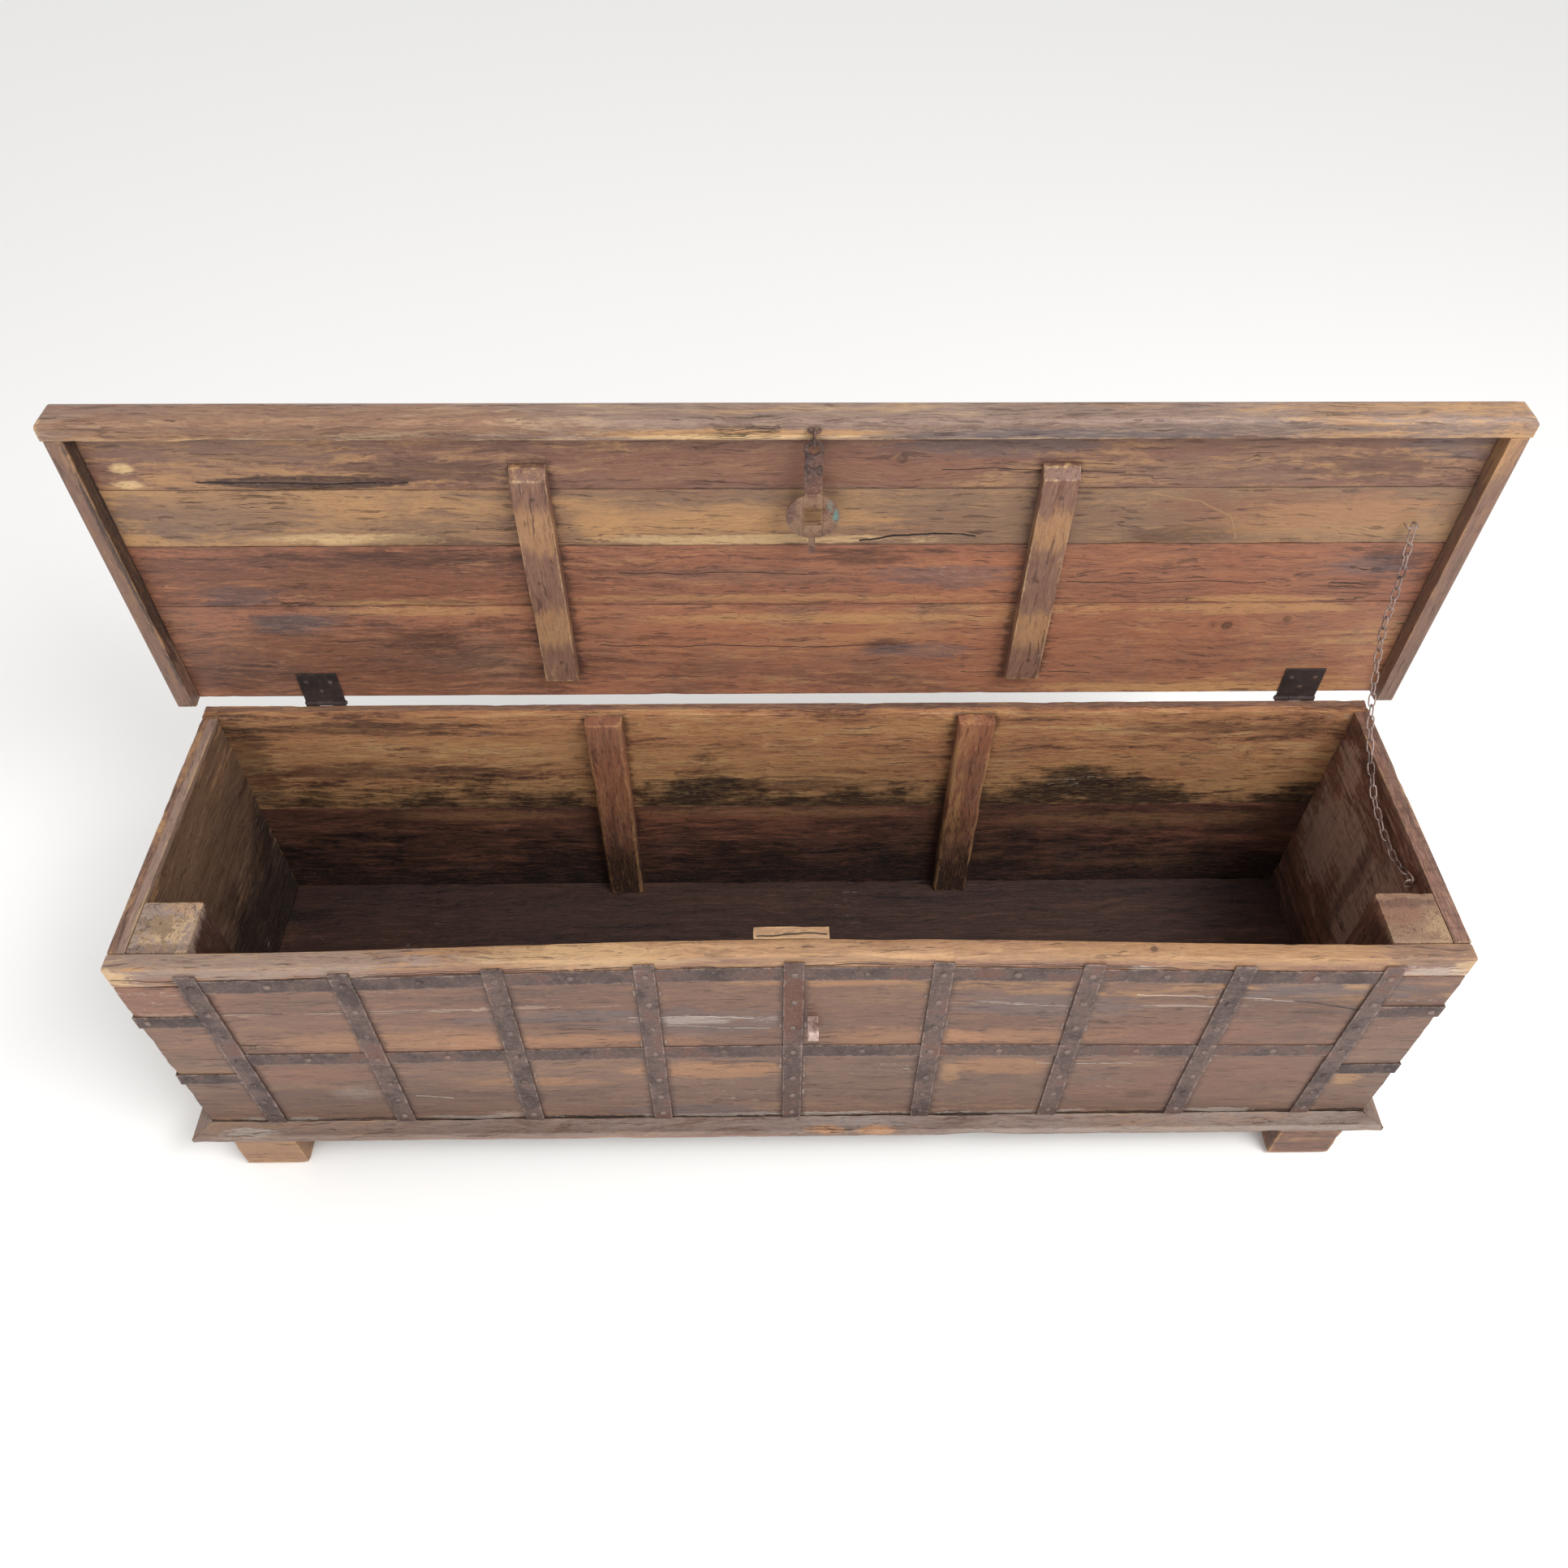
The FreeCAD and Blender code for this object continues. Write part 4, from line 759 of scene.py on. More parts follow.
def rounded_wire(node, wire_radius, material, body, slot, seed):
    """Links and staples: the frame's six-sided wire made round, then slightly hammered."""
    mesh = node_mesh(node)
    mesh.normal_update()
    moves = [v.normal * wire_radius * WIRE_SWELL for v in mesh.verts]
    for vertex, move in zip(mesh.verts, moves):
        vertex.co += move
    data = bpy.data.meshes.new("wire")
    mesh.to_mesh(data)
    mesh.free()
    drawn = bpy.data.objects.new("wire", data)
    bpy.context.scene.collection.objects.link(drawn)
    drawn.modifiers.new("Round", "SUBSURF").levels = 2
    bpy.context.view_layer.update()
    smooth = drawn.evaluated_get(bpy.context.evaluated_depsgraph_get()).to_mesh()
    mesh = bmesh.new()
    mesh.from_mesh(smooth)
    bpy.data.objects.remove(drawn)
    mesh.normal_update()
    for vertex in mesh.verts:
        dent = noise.noise(vertex.co * WIRE_DENTS + Vector((seed, 0, 0)))
        vertex.co -= vertex.normal * wire_radius * WIRE_HAMMERED * (1 + dent)
    return piece(node + "_drawn", mesh, material, body, slot, node)


DOME_SIDES = 14
DOME_LIFTS = (0, 20, 40, 60, 80)        # degrees up the dome at which its rings lie


def dome(foot, outward, up, radius, height, unevenness):
    """A hammered rivet head: a shallow dome of rings, closed underneath."""
    side = outward.cross(up)
    head = bmesh.new()
    rings = []
    for degrees in DOME_LIFTS:
        lift = math.radians(degrees)
        ring = []
        for k in range(DOME_SIDES):
            turn = 2 * math.pi * k / DOME_SIDES
            way = side * math.cos(turn) + up * math.sin(turn)
            uneven = 1 + unevenness * noise.noise(foot * 90 + way * 1.3)
            flat = 1 + unevenness * 1.5 * noise.noise(foot * 70 + way)
            ring.append(head.verts.new(foot + way * (radius * math.cos(lift) * uneven)
                                       + outward * (height * math.sin(lift) * flat)))
        rings.append(ring)
    for lower, upper in zip(rings, rings[1:]):
        for k, vertex in enumerate(lower):
            n = (k + 1) % len(lower)
            head.faces.new((vertex, lower[n], upper[n], upper[k]))
    head.faces.new(rings[-1])
    head.faces.new(rings[0][::-1])
    return head


# lines of the square grid that is drawn out into a screw's head, as shares of its radius
SCREW_GRID = (-1.0, -0.8, -0.55, -0.3, -0.17, -0.13, 0.13, 0.17, 0.3, 0.55, 0.8, 1.0)
SLOT_HALF_WIDTH = 0.15


def slotted_head(foot, outward, radius, height, slot_turn):
    """A domed screw head with its slot cut in: a square grid drawn out into a disc."""
    side = outward.cross(Vector((0, 0, 1)))
    turned = Matrix.Rotation(slot_turn, 3, outward)
    side = turned @ side
    up = outward.cross(side)
    head = bmesh.new()
    grid = []
    for u in SCREW_GRID:
        row = []
        for v in SCREW_GRID:
            x = u * math.sqrt(1 - v * v / 2)
            y = v * math.sqrt(1 - u * u / 2)
            rise = height * (1 - 0.7 * (x * x + y * y))
            if abs(v) < SLOT_HALF_WIDTH:
                rise -= height * 0.75
            row.append(head.verts.new(foot + (side * x + up * y) * radius + outward * rise))
        grid.append(row)
    last = len(SCREW_GRID) - 1
    for i in range(last):
        for j in range(last):
            head.faces.new((grid[i][j], grid[i + 1][j], grid[i + 1][j + 1], grid[i][j + 1]))
    rim = (grid[0][:-1] + [row[-1] for row in grid[:-1]] + grid[-1][:0:-1]
           + [row[0] for row in grid[:0:-1]])
    under = [head.verts.new(foot + (v.co - foot) - outward * ((v.co - foot).dot(outward)
                                                             + height * 0.5)) for v in rim]
    for k, vertex in enumerate(rim):
        n = (k + 1) % len(rim)
        head.faces.new((vertex, rim[n], under[n], under[k]))
    head.faces.new(under[::-1])
    bmesh.ops.recalc_face_normals(head, faces=head.faces)
    return head


# ------------------------------------------------------------------ the chest's own finishes
def colours(settings, *names):
    return SimpleNamespace(**{name: tuple(getattr(settings, name)) for name in names})


def board_colours():
    return colours(bpy.context.scene.chest_boards, "heart", "russet", "gold", "straw", "olive",
                   "mauve", "shade", "soot_and_shade", "stain", "ash")


def iron_colours():
    return colours(bpy.context.scene.chest_iron, "scale", "worn", "rust", "dust", "bright",
                   "verdigris")


def strap_places():
    """The middle of the first upright strap, the way to the next one and their width."""
    boxes = sorted((corners(solid) for solid in islands(node_mesh("front_upright_straps"))),
                   key=lambda box: box[0].x)
    middles = [(low.x + high.x) / 2 for low, high in boxes]
    return SimpleNamespace(first=middles[0], pitch=middles[1] - middles[0],
                           width=boxes[0][1].x - boxes[0][0].x)


def between(first, second, share):
    return tuple(a + (b - a) * share for a, b in zip(first, second))


LID_INSIDE = ("Y", LID_FACE_Y + 0.01, LID_FACE_Y + 0.012)
BACK_INSIDE = ("Y", BACK_FACE_Y + 0.01, BACK_FACE_Y + 0.012)
FRONT_OUTSIDE = ("Y", FRONT_Y + 0.018, FRONT_Y + 0.02)


def weathered():
    """The three colours of the grain on the outer faces."""
    c = board_colours()
    return (between(c.shade, c.mauve, 0.45), between(c.mauve, c.heart, 0.35),
            between(c.mauve, c.gold, 0.3))


def blackened_and_shaded():
    """The three colours of the grain inside the case: blackened wood that is also the painted shade
    of the dark inside.
    """
    c = board_colours()
    return c.soot_and_shade, between(c.soot_and_shade, c.shade, 0.7), between(c.shade, c.heart, 0.25)


def on_lid(x, z):
    return Vector((x, LID_FACE_Y, z))


def on_rail(x, z):
    return Vector((x, RAIL_FACE_Y, z))


def on_front(x, z):
    return Vector((x, FRONT_Y, z))


def on_back(x, z):
    return Vector((x, BACK_FACE_Y, z))


TINT_DEPTH = 0.045              # deeper than any board


def spot(wide, high):
    """The half sizes of a tint on a face across the chest, as deep as the board."""
    return Vector((wide, TINT_DEPTH, high))


def tints_on(face, rows):
    """Tints from rows of a colour, a place on a face, half sizes, a strength and the rest."""
    return [Tint(colour, face(x, z), spot(wide, high), *rest)
            for colour, x, z, wide, high, *rest in rows]


def splits_on(face, rows):
    """Splits from rows of two places on a face, a width, a colour and the rest."""
    return [Split(face(x, z), face(to_x, to_z), *rest) for x, z, to_x, to_z, *rest in rows]




class CHEST_OT_stage(bpy.types.Operator):
    """Set up the floor, the lights and the camera"""

    bl_idname = "chest.stage"
    bl_label = "Stage"
    bl_options = {"REGISTER", "UNDO"}

    def execute(self, context):
        stage = context.scene.chest_stage
        self.floor(stage)
        self.lights(context.scene, stage)
        self.camera(context.scene, stage)
        return {"FINISHED"}

    def floor(self, stage):
        f = Finish("pale_floor")
        shade = f.noise(f.place, 3.0)
        colour = f.mix(shade * 0.06, tuple(stage.floor), [c * 0.9 for c in stage.floor])
        material = f.surface(colour, 0.85 + shade * 0.05, shade, 0.0002)
        mesh = bmesh.new()
        bmesh.ops.create_grid(mesh, x_segments=8, y_segments=8, size=14.0)
        data = bpy.data.meshes.new("floor")
        mesh.to_mesh(data)
        mesh.free()
        data.materials.append(material)
        floor = bpy.data.objects.new("floor", data)
        bpy.context.scene.collection.objects.link(floor)

    def lamp(self, name, place, aim, size, power):
        light = bpy.data.lights.new(name, "AREA")
        light.shape = "RECTANGLE"
        light.size, light.size_y = size
        light.energy = power
        lamp = bpy.data.objects.new(name, light)
        lamp.location = place
        lamp.rotation_mode = "QUATERNION"
        lamp.rotation_quaternion = (Vector(aim) - Vector(place)).to_track_quat("-Z", "Y")
        bpy.context.scene.collection.objects.link(lamp)

    def lights(self, scene, stage):
        world = bpy.data.worlds.new("studio")
        world.use_nodes = True
        world.node_tree.nodes["Background"].inputs["Color"].default_value = (1, 1, 1, 1)
        world.node_tree.nodes["Background"].inputs["Strength"].default_value = stage.sky
        scene.world = world
        self.lamp("key", (1.6, -1.5, 3.2), (0, 0, 0.5), (1.6, 1.2), stage.key)
        self.lamp("fill", (-1.2, -3.0, 1.3), (0, 0, 0.4), (2.6, 1.6), stage.fill)
        scene.view_settings.view_transform = "Standard"

    def camera(self, scene, stage):
        camera = bpy.data.cameras.new("camera")
        camera.sensor_width = SENSOR_WIDTH * 1000
        camera.lens = stage.focal_pixels / FRAME_PIXELS * SENSOR_WIDTH * 1000
        camera.shift_x = (FRAME_PIXELS / 2 - stage.centre_pixels[0]) / FRAME_PIXELS
        camera.shift_y = (stage.centre_pixels[1] - FRAME_PIXELS / 2) / FRAME_PIXELS
        camera.clip_start = 0.01
        holder = bpy.data.objects.new("camera", camera)
        upright = Matrix.Rotation(math.radians(90) - stage.camera_dip, 4, "X")
        turn = Matrix.Rotation(-stage.camera_heading, 4, "Z")
        lean = Matrix.Rotation(stage.camera_roll, 4, "Z")
        holder.matrix_world = Matrix.Translation(stage.camera_place) @ turn @ upright @ lean
        scene.collection.objects.link(holder)
        scene.camera = holder


SPLINTER_DEPTH = 0.0075
SPLINTER_REACH = 0.012        # how far from a board's end its wood is broken
SPLINTER_NOISE = (9, 30, 75)  # splinters in a metre along X, Y and Z


def front_upper_wood(c):
    amber = between(c.gold, c.russet, 0.45)
    tints = tints_on(on_front, [
        (between(c.russet, c.mauve, 0.35), -0.77, 0.43, 0.07, 0.035, 0.4, 1.2, 1.6),
        (c.shade, 0.25, 0.38, 0.7, 0.12, 0.3, 1.2, 0.6),
        (amber, -0.52, 0.325, 0.2, 0.022, 0.35),
        (amber, -0.27, 0.315, 0.16, 0.018, 0.45),
        (c.stain, -0.3, 0.375, 0.12, 0.014, 0.5),
        (c.stain, -0.13, 0.355, 0.12, 0.035, 0.45),
        (c.ash, -0.13, 0.362, 0.09, 0.009, 0.35, 0.7, 1.6),
        (amber, 0.13, 0.315, 0.13, 0.022, 0.4),
        (amber, 0.06, 0.445, 0.1, 0.008, 0.5),
        (c.stain, 0.32, 0.39, 0.12, 0.028, 0.5),
        (amber, 0.3, 0.318, 0.12, 0.02, 0.4),
        (c.heart, 0.5, 0.33, 0.13, 0.026, 0.5),
        (c.shade, 0.7, 0.4, 0.16, 0.05, 0.3),
        (c.shade, 0.01, 0.36, 0.022, 0.03, 0.7),
        (c.stain, 0.66, 0.435, 0.1, 0.022, 0.5),
        (c.gold, 0.7, 0.445, 0.02, 0.01, 0.6),
    ])
    tints += [Tint(between(c.ash, c.gold, 0.4), on_front(x, 0.398), spot(wide, 0.003), 0.28,
                   ragged=2.6)
              for x, wide in ((-0.72, 0.06), (-0.52, 0.09), (-0.36, 0.08), (-0.22, 0.05),
                              (0.22, 0.05), (0.5, 0.06))]
    splits = splits_on(on_front, [
        (-0.79, 0.402, -0.64, 0.396, 0.002, c.soot_and_shade),
        (-0.6, 0.398, -0.3, 0.396, 0.0014, c.shade),
        (0.43, 0.424, 0.6, 0.412, 0.0022, c.ash, 0.4),
        (0.58, 0.409, 0.645, 0.405, 0.0018, c.ash, 0.4),
        (0.63, 0.407, 0.72, 0.39, 0.003, c.soot_and_shade),
        (0.46, 0.396, 0.55, 0.392, 0.0016, c.ash, 0.4),
        (-0.21, 0.371, -0.05, 0.368, 0.0014, c.ash, 0.4),
        (-0.19, 0.35, -0.03, 0.341, 0.0014, c.ash, 0.4),
        (0.28, 0.398, 0.38, 0.394, 0.0014, c.ash, 0.4),
    ])
    return wood("front_upper", "x", 1, between(c.shade, c.mauve, 0.45),
                between(c.mauve, c.heart, 0.4), between(c.mauve, c.gold, 0.3),
                films=0.4, golds=0.15, scratches=0.6, worn=c.mauve, tints=tints,
                splits=splits, knots=[Knot(on_front(0.49, 0.388), 0.009)],
                straps=strap_places(), face=FRONT_OUTSIDE, other=blackened_and_shaded())


def front_lower_wood(c):
    amber = between(c.gold, c.russet, 0.4)
    crust = [Tint(c.soot_and_shade, on_front(x, 0.106), spot(0.26, 0.005), 0.95, 0.5, 1.8)
             for x in (-0.68, -0.42, -0.14, 0.14, 0.42, 0.68)]
    crust += [Tint(c.ash, on_front(x, 0.11), spot(wide, 0.004), 0.5, ragged=2.2)
             for x, wide in ((-0.72, 0.07), (-0.44, 0.08), (-0.12, 0.09), (0.08, 0.1),
                             (0.34, 0.08), (0.6, 0.05))]
    tints = crust + tints_on(on_front, [
        (c.ash, -0.6, 0.185, 0.03, 0.016, 0.3, 1.4, 0.6),
        (c.ash, -0.4, 0.118, 0.03, 0.006, 0.4, 0.7, 1.6),
        (c.stain, -0.13, 0.122, 0.1, 0.014, 0.6),
        (amber, -0.1, 0.235, 0.11, 0.02, 0.6),
        (amber, -0.35, 0.21, 0.1, 0.012, 0.45),
        (amber, 0.28, 0.24, 0.07, 0.02, 0.6),
        (c.gold, 0.215, 0.22, 0.012, 0.024, 0.5),
        (c.heart, 0.6, 0.22, 0.13, 0.05, 0.5),
        (c.heart, 0.46, 0.17, 0.1, 0.02, 0.4),
        (c.shade, -0.6, 0.16, 0.26, 0.06, 0.45, 1.2, 0.6),
        (c.shade, 0.45, 0.18, 0.5, 0.08, 0.25, 1.2, 0.6),
        (c.shade, 0.49, 0.16, 0.02, 0.01, 0.6),
        (c.gold, 0.765, 0.205, 0.02, 0.02, 0.5),
        (c.heart, -0.66, 0.24, 0.1, 0.02, 0.5),
    ])
    splits = splits_on(on_front, [
        (-0.52, 0.176, -0.47, 0.166, 0.0016, c.ash, 0.3),
        (0.33, 0.252, 0.46, 0.247, 0.0014, c.ash, 0.4),
    ])
    return wood("front_lower", "x", 2, between(c.shade, c.mauve, 0.45),
                between(c.mauve, c.shade, 0.12), between(c.mauve, c.gold, 0.25),
                films=0.4, scratches=0.5, worn=c.shade, tints=tints, splits=splits,
                straps=strap_places(), face=FRONT_OUTSIDE, other=blackened_and_shaded())


def top_rail_wood(c):
    rosy = between(c.mauve, between(c.russet, c.shade, 0.3), 0.5)
    face = FRONT_Y - 0.003
    tints = [
        Tint(rosy, (0, face, 0.482), (1.2, 0.016, 0.016), 0.9, 0.4, 0.4),
        Tint(between(c.mauve, c.ash, 0.25), (-0.68, face + 0.02, RIM_Z), (0.24, 0.04, 0.03),
             0.85),
        Tint(c.straw, (-0.25, face + 0.02, RIM_Z), (0.12, 0.02, 0.02), 0.4),
        Tint(between(c.gold, c.olive, 0.3), (0.55, face + 0.02, RIM_Z), (0.2, 0.03, 0.02), 0.5),
        Tint(c.mauve, (0.79, face + 0.02, RIM_Z), (0.06, 0.05, 0.03), 0.7),
        Tint(c.straw, (-0.822, FRONT_Y, 0.488), (0.026, 0.03, 0.016), 0.7, ragged=1.6),
        Tint(c.straw, (0.822, FRONT_Y, 0.486), (0.02, 0.03, 0.016), 0.6, ragged=1.6),
        Tint(c.ash, on_front(0.785, 0.476), spot(0.04, 0.01), 0.45, ragged=2.4),
        Tint(c.ash, on_front(0.42, 0.481), spot(0.02, 0.006), 0.6, ragged=1.6),
    ]
    # The first split is a crack and also a painted shadow along the upper edge of the band.
    splits = [Split((-0.82, face, 0.4805), (0.74, face, 0.4805), 0.0026, c.soot_and_shade),
              Split((-0.6, face, 0.485), (-0.3, face, 0.4845), 0.0016, c.shade),
              Split((0.05, face, 0.485), (0.42, face, 0.484), 0.0016, c.shade)]
    return wood("top_rail", "x", 3, between(c.mauve, c.heart, 0.6),
                between(c.gold, c.mauve, 0.5), between(c.straw, c.russet, 0.45), films=0.45,
                golds=0.1, scratches=0.4, gloss=0.5, tints=tints, splits=splits,
                knots=[Knot((0.435, face + 0.022, RIM_Z), 0.006)])


class CHEST_OT_front(bpy.types.Operator):
    """Build the bowed front: two boards and the worn top rail"""

    bl_idname = "chest.front"
    bl_label = "Front boards"
    bl_options = {"REGISTER", "UNDO"}

    def execute(self, context):
        c = board_colours()
        worn_board("front_board_upper", front_upper_wood(c), "case", "front_wood", "x", 1,
                   arris=0.001, chips=0.0016, marks=self.ragged_end)
        worn_board("front_board_lower", front_lower_wood(c), "case", "front_wood", "x", 2,
                   arris=0.0012, chips=0.003, marks=self.ragged_end)
        worn_board("front_top_rail", top_rail_wood(c), "case", "front_wood", "x", 3,
                   arris=0.0035, chips=0.0014)
        return {"FINISHED"}

    def ragged_end(self, place, normal):
        """Splinters broken out of the ends of the front boards."""
        gap = CASE_HIGH.x - abs(place.x)
        if gap > 0.02 or abs(normal.x) < 0.2:
            return 0.0
        broken = max(0.0, noise.noise(place * Vector(SPLINTER_NOISE)) + 0.12)
        return SPLINTER_DEPTH * broken * math.exp(-(gap / SPLINTER_REACH) ** 2)


CLEATS = ("back_cleat_left", "back_cleat_right")
LID_CLEATS = ("lid_cleat_left", "lid_cleat_right")


def back_upper_wood(c):
    amber = between(c.gold, c.russet, 0.35)
    golds = [Tint(amber, on_back(x, z), spot(wide, high), 0.75)
             for x, z, wide, high in ((-0.551, 0.449, 0.2, 0.012), (-0.6, 0.41, 0.16, 0.012),
                                      (-0.32, 0.43, 0.05, 0.04), (-0.168, 0.419, 0.1, 0.014),
                                      (0.034, 0.4, 0.16, 0.016), (0.386, 0.378, 0.14, 0.014),
                                      (0.541, 0.4, 0.16, 0.018), (0.718, 0.366, 0.08, 0.02),
                                      (-0.05, 0.47, 0.2, 0.01), (0.2, 0.48, 0.1, 0.01))]
    dark = tints_on(on_back, [
        (c.shade, -0.62, 0.48, 0.18, 0.012, 0.6),
        (c.soot_and_shade, -0.79, 0.4, 0.04, 0.14, 0.5),
        (c.shade, 0.62, 0.47, 0.15, 0.012, 0.5),
        (c.shade, -0.6, 0.385, 0.22, 0.018, 0.6),
        (c.shade, 0.0, 0.35, 0.2, 0.016, 0.6),
        (c.shade, 0.45, 0.35, 0.12, 0.012, 0.5),
    ])
    return wood("back_upper", "x", 4, between(c.shade, c.heart, 0.3),
                between(c.russet, c.gold, 0.4), between(c.gold, c.straw, 0.25),
                film=c.heart, films=0.2, golds=0.7, streaks=1.5, wear=0.4,
                soot_and_shade_heights=(0.37, 0.29), tints=golds + dark, beside=CLEATS,
                face=BACK_INSIDE, other=weathered())


def back_lower_wood(c):
    tints = [Tint(between(c.gold, c.heart, 0.5), on_back(x, z), spot(wide, high), 0.6, 1.0, 1.5)
             for x, z, wide, high in ((0.6, 0.15, 0.16, 0.012), (0.33, 0.17, 0.06, 0.01),
                                      (0.56, 0.26, 0.2, 0.014), (0.0, 0.285, 0.18, 0.01),
                                      (-0.45, 0.28, 0.12, 0.01))]
    # Near-black low down: soot and the painted shade of the dark inside of the case.
    return wood("back_lower", "x", 5, c.soot_and_shade, between(c.shade, c.heart, 0.35),
                between(c.heart, c.russet, 0.4), film=c.shade, films=0.3, streaks=1.4,
                worn=c.shade, soot_and_shade_heights=(0.27, 0.12), tints=tints, beside=CLEATS,
                face=BACK_INSIDE, other=weathered())


def left_end_wood(c):
    inner_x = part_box("end_wall_left")[1].x
    tints = [Tint(c.olive, (inner_x, 0.05, 0.44), (0.05, 0.14, 0.04), 0.4),
             Tint(between(between(c.mauve, c.ash, 0.3), c.russet, 0.2),
                  (inner_x - 0.01, 0.0, RIM_Z), (0.03, 0.32, 0.01), 0.8, 0.4, 0.3)]
    splits = [Split((inner_x, -0.1, 0.46), (inner_x, 0.02, 0.36), 0.0016, c.mauve, 0.3, "x"),
              Split((inner_x, 0.02, 0.45), (inner_x, 0.13, 0.33), 0.0016, c.mauve, 0.3, "x")]
    return wood("left_end", "y", 6, between(c.shade, c.soot_and_shade, 0.4),
                between(c.shade, c.olive, 0.45), between(c.mauve, c.olive, 0.5),
                films=0.3, golds=0.1, worn=c.straw, wear=0.4,
                soot_and_shade_heights=(0.36, 0.2), tints=tints, splits=splits,
                face=("X", inner_x - 0.01, inner_x - 0.012), other=weathered())


def right_end_wood(c):
    inner_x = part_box("end_wall_right")[0].x
    pale = between(c.russet, c.ash, 0.3)
    rough = between(c.russet, c.ash, 0.4)
    tints = [Tint(rough, (inner_x, y, z), (0.05, wide, high), 0.85, 0.5, 1.3)
             for y, z, wide, high in ((-0.06, 0.4, 0.07, 0.05), (0.05, 0.36, 0.08, 0.07),
                                      (0.12, 0.27, 0.06, 0.05), (-0.02, 0.28, 0.07, 0.06),
                                      (0.14, 0.44, 0.04, 0.04), (-0.14, 0.33, 0.05, 0.06))]
    tints += [Tint(c.shade, (inner_x, 0.02, 0.34), (0.05, 0.012, 0.15), 0.6, ragged=1.6),
             Tint(between(c.mauve, c.heart, 0.4), (inner_x + 0.01, 0.0, RIM_Z),
                  (0.03, 0.3, 0.01), 0.8, 0.4, 0.5)]
    return wood("right_end", "y", 7, c.shade,
                between(c.shade, c.russet, 0.45), pale, film=c.shade, films=0.3, worn=c.straw,
                wear=0.4, streaks=1.4, saw=0.35, soot_and_shade_heights=(0.22, 0.0), tints=tints,
                face=("X", inner_x + 0.01, inner_x + 0.012), other=weathered())


def floor_wood(c):
    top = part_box("floor_boards")[1].z
    splits = []
    for x, y, reach, lean in ((0.3, -0.08, 0.13, 0.1), (0.18, 0.02, 0.1, 0.16),
                              (-0.42, -0.05, 0.12, -0.08), (0.46, 0.03, 0.12, 0.05)):
        middle = Vector((x, y, top))
        bow = Vector((0, 0.03, 0))
        way = Vector((reach, reach * lean, 0))
        splits += [Split(middle - way, middle + bow, 0.0018, c.mauve, 0.3, "z"),
                   Split(middle + bow, middle + way, 0.0018, c.mauve, 0.3, "z")]
    # Near-black: soot and the painted shade of the deep inside of the case.
    return wood("floor", "x", 8, c.soot_and_shade, between(c.soot_and_shade, c.shade, 0.7),
                between(c.shade, c.heart, 0.25), film=c.shade, films=0.4, scratches=0.4,
                worn=c.shade, splits=splits)


class CHEST_OT_walls(bpy.types.Operator):
    """Build the back, the ends and the floor of the case"""

    bl_idname = "chest.walls"
    bl_label = "Back, ends and floor"
    bl_options = {"REGISTER", "UNDO"}

    def execute(self, context):
        c = board_colours()
        seam = context.scene.chest_boards.seam_arris
        for seed, (node, make, grain, arris) in enumerate((
                ("back_board_upper", back_upper_wood, "x", None),
                ("back_board_lower", back_lower_wood, "x", None),
                ("end_wall_left", left_end_wood, "y", None),
                ("end_wall_right", right_end_wood, "y", None),
                ("floor_boards", floor_wood, "x", seam)), 4):
            worn_board(node, make(c), "case", "case_wood", grain, seed, arris=arris)
        return {"FINISHED"}


def corner_post_wood(c, side, seed):
    low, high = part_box("corner_post_" + side)
    middle = Vector(((low.x + high.x) / 2, (low.y + high.y) / 2, RIM_Z))
    if side == "left":
        top = between(between(c.mauve, c.ash, 0.45), c.russet, 0.15)
        tints = [Tint(top, middle, (0.075, 0.075, 0.016), 0.9),
                 Tint(c.straw, middle + Vector((0.002, -0.004, 0)), (0.028, 0.018, 0.012), 0.6,
                      ragged=2.4),
                 Tint(between(c.straw, c.russet, 0.4), middle + Vector((0.016, 0.03, 0)),
                      (0.024, 0.01, 0.012), 0.6, ragged=1.8),
                 Tint(c.shade, middle + Vector((-0.012, 0.002, 0)), (0.022, 0.014, 0.012), 0.5,
                      ragged=2.4),
                 Tint(c.shade, middle + Vector((0.0, -0.034, 0)), (0.04, 0.008, 0.012), 0.5,
                      ragged=1.8)]
        dark = c.shade
    else:
        top = between(c.mauve, c.olive, 0.4)
        tints = [Tint(between(top, c.straw, 0.15), middle, (0.055, 0.055, 0.012), 0.8),
                 Tint(c.heart, middle + Vector((-0.02, 0.01, 0)), (0.03, 0.02, 0.012), 0.6),
                 Tint(c.shade, middle + Vector((0.0, 0.022, 0)), (0.04, 0.006, 0.012), 0.5),
                 Tint(c.straw, middle + Vector((0.028, -0.02, 0)), (0.01, 0.016, 0.01), 0.25,
                      ragged=2.4)]
        dark = c.heart
    return wood("corner_post_" + side, "z", seed, c.shade, between(c.shade, dark, 0.6),
                between(c.mauve, c.heart, 0.5), worn=between(c.mauve, c.straw, 0.5),
                cracks=0.9, soot_and_shade_heights=(0.46, 0.3), tints=tints)


def back_cleat_wood(c, side, seed):
    return wood("back_cleat_" + side, "z", seed,
                between(c.shade, c.heart, 0.4), between(c.heart, c.russet, 0.5),
                between(c.russet, c.gold, 0.6), golds=0.4, soot_and_shade_heights=(0.34, 0.18))


def lock_block_wood(c):
    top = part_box("lock_block")[1]
    pale = between(between(c.straw, c.mauve, 0.6), c.russet, 0.3)
    splits = [Split((-0.045, top.y - 0.014, RIM_Z), (0.04, top.y - 0.012, RIM_Z), 0.0026,
                    c.soot_and_shade, through="z")]
    return wood("lock_block", "x", 11, between(c.mauve, c.straw, 0.3), pale, c.straw,
                films=0.1, worn=c.straw, wear=0.8, soot_and_shade_heights=(0.47, 0.4), splits=splits)


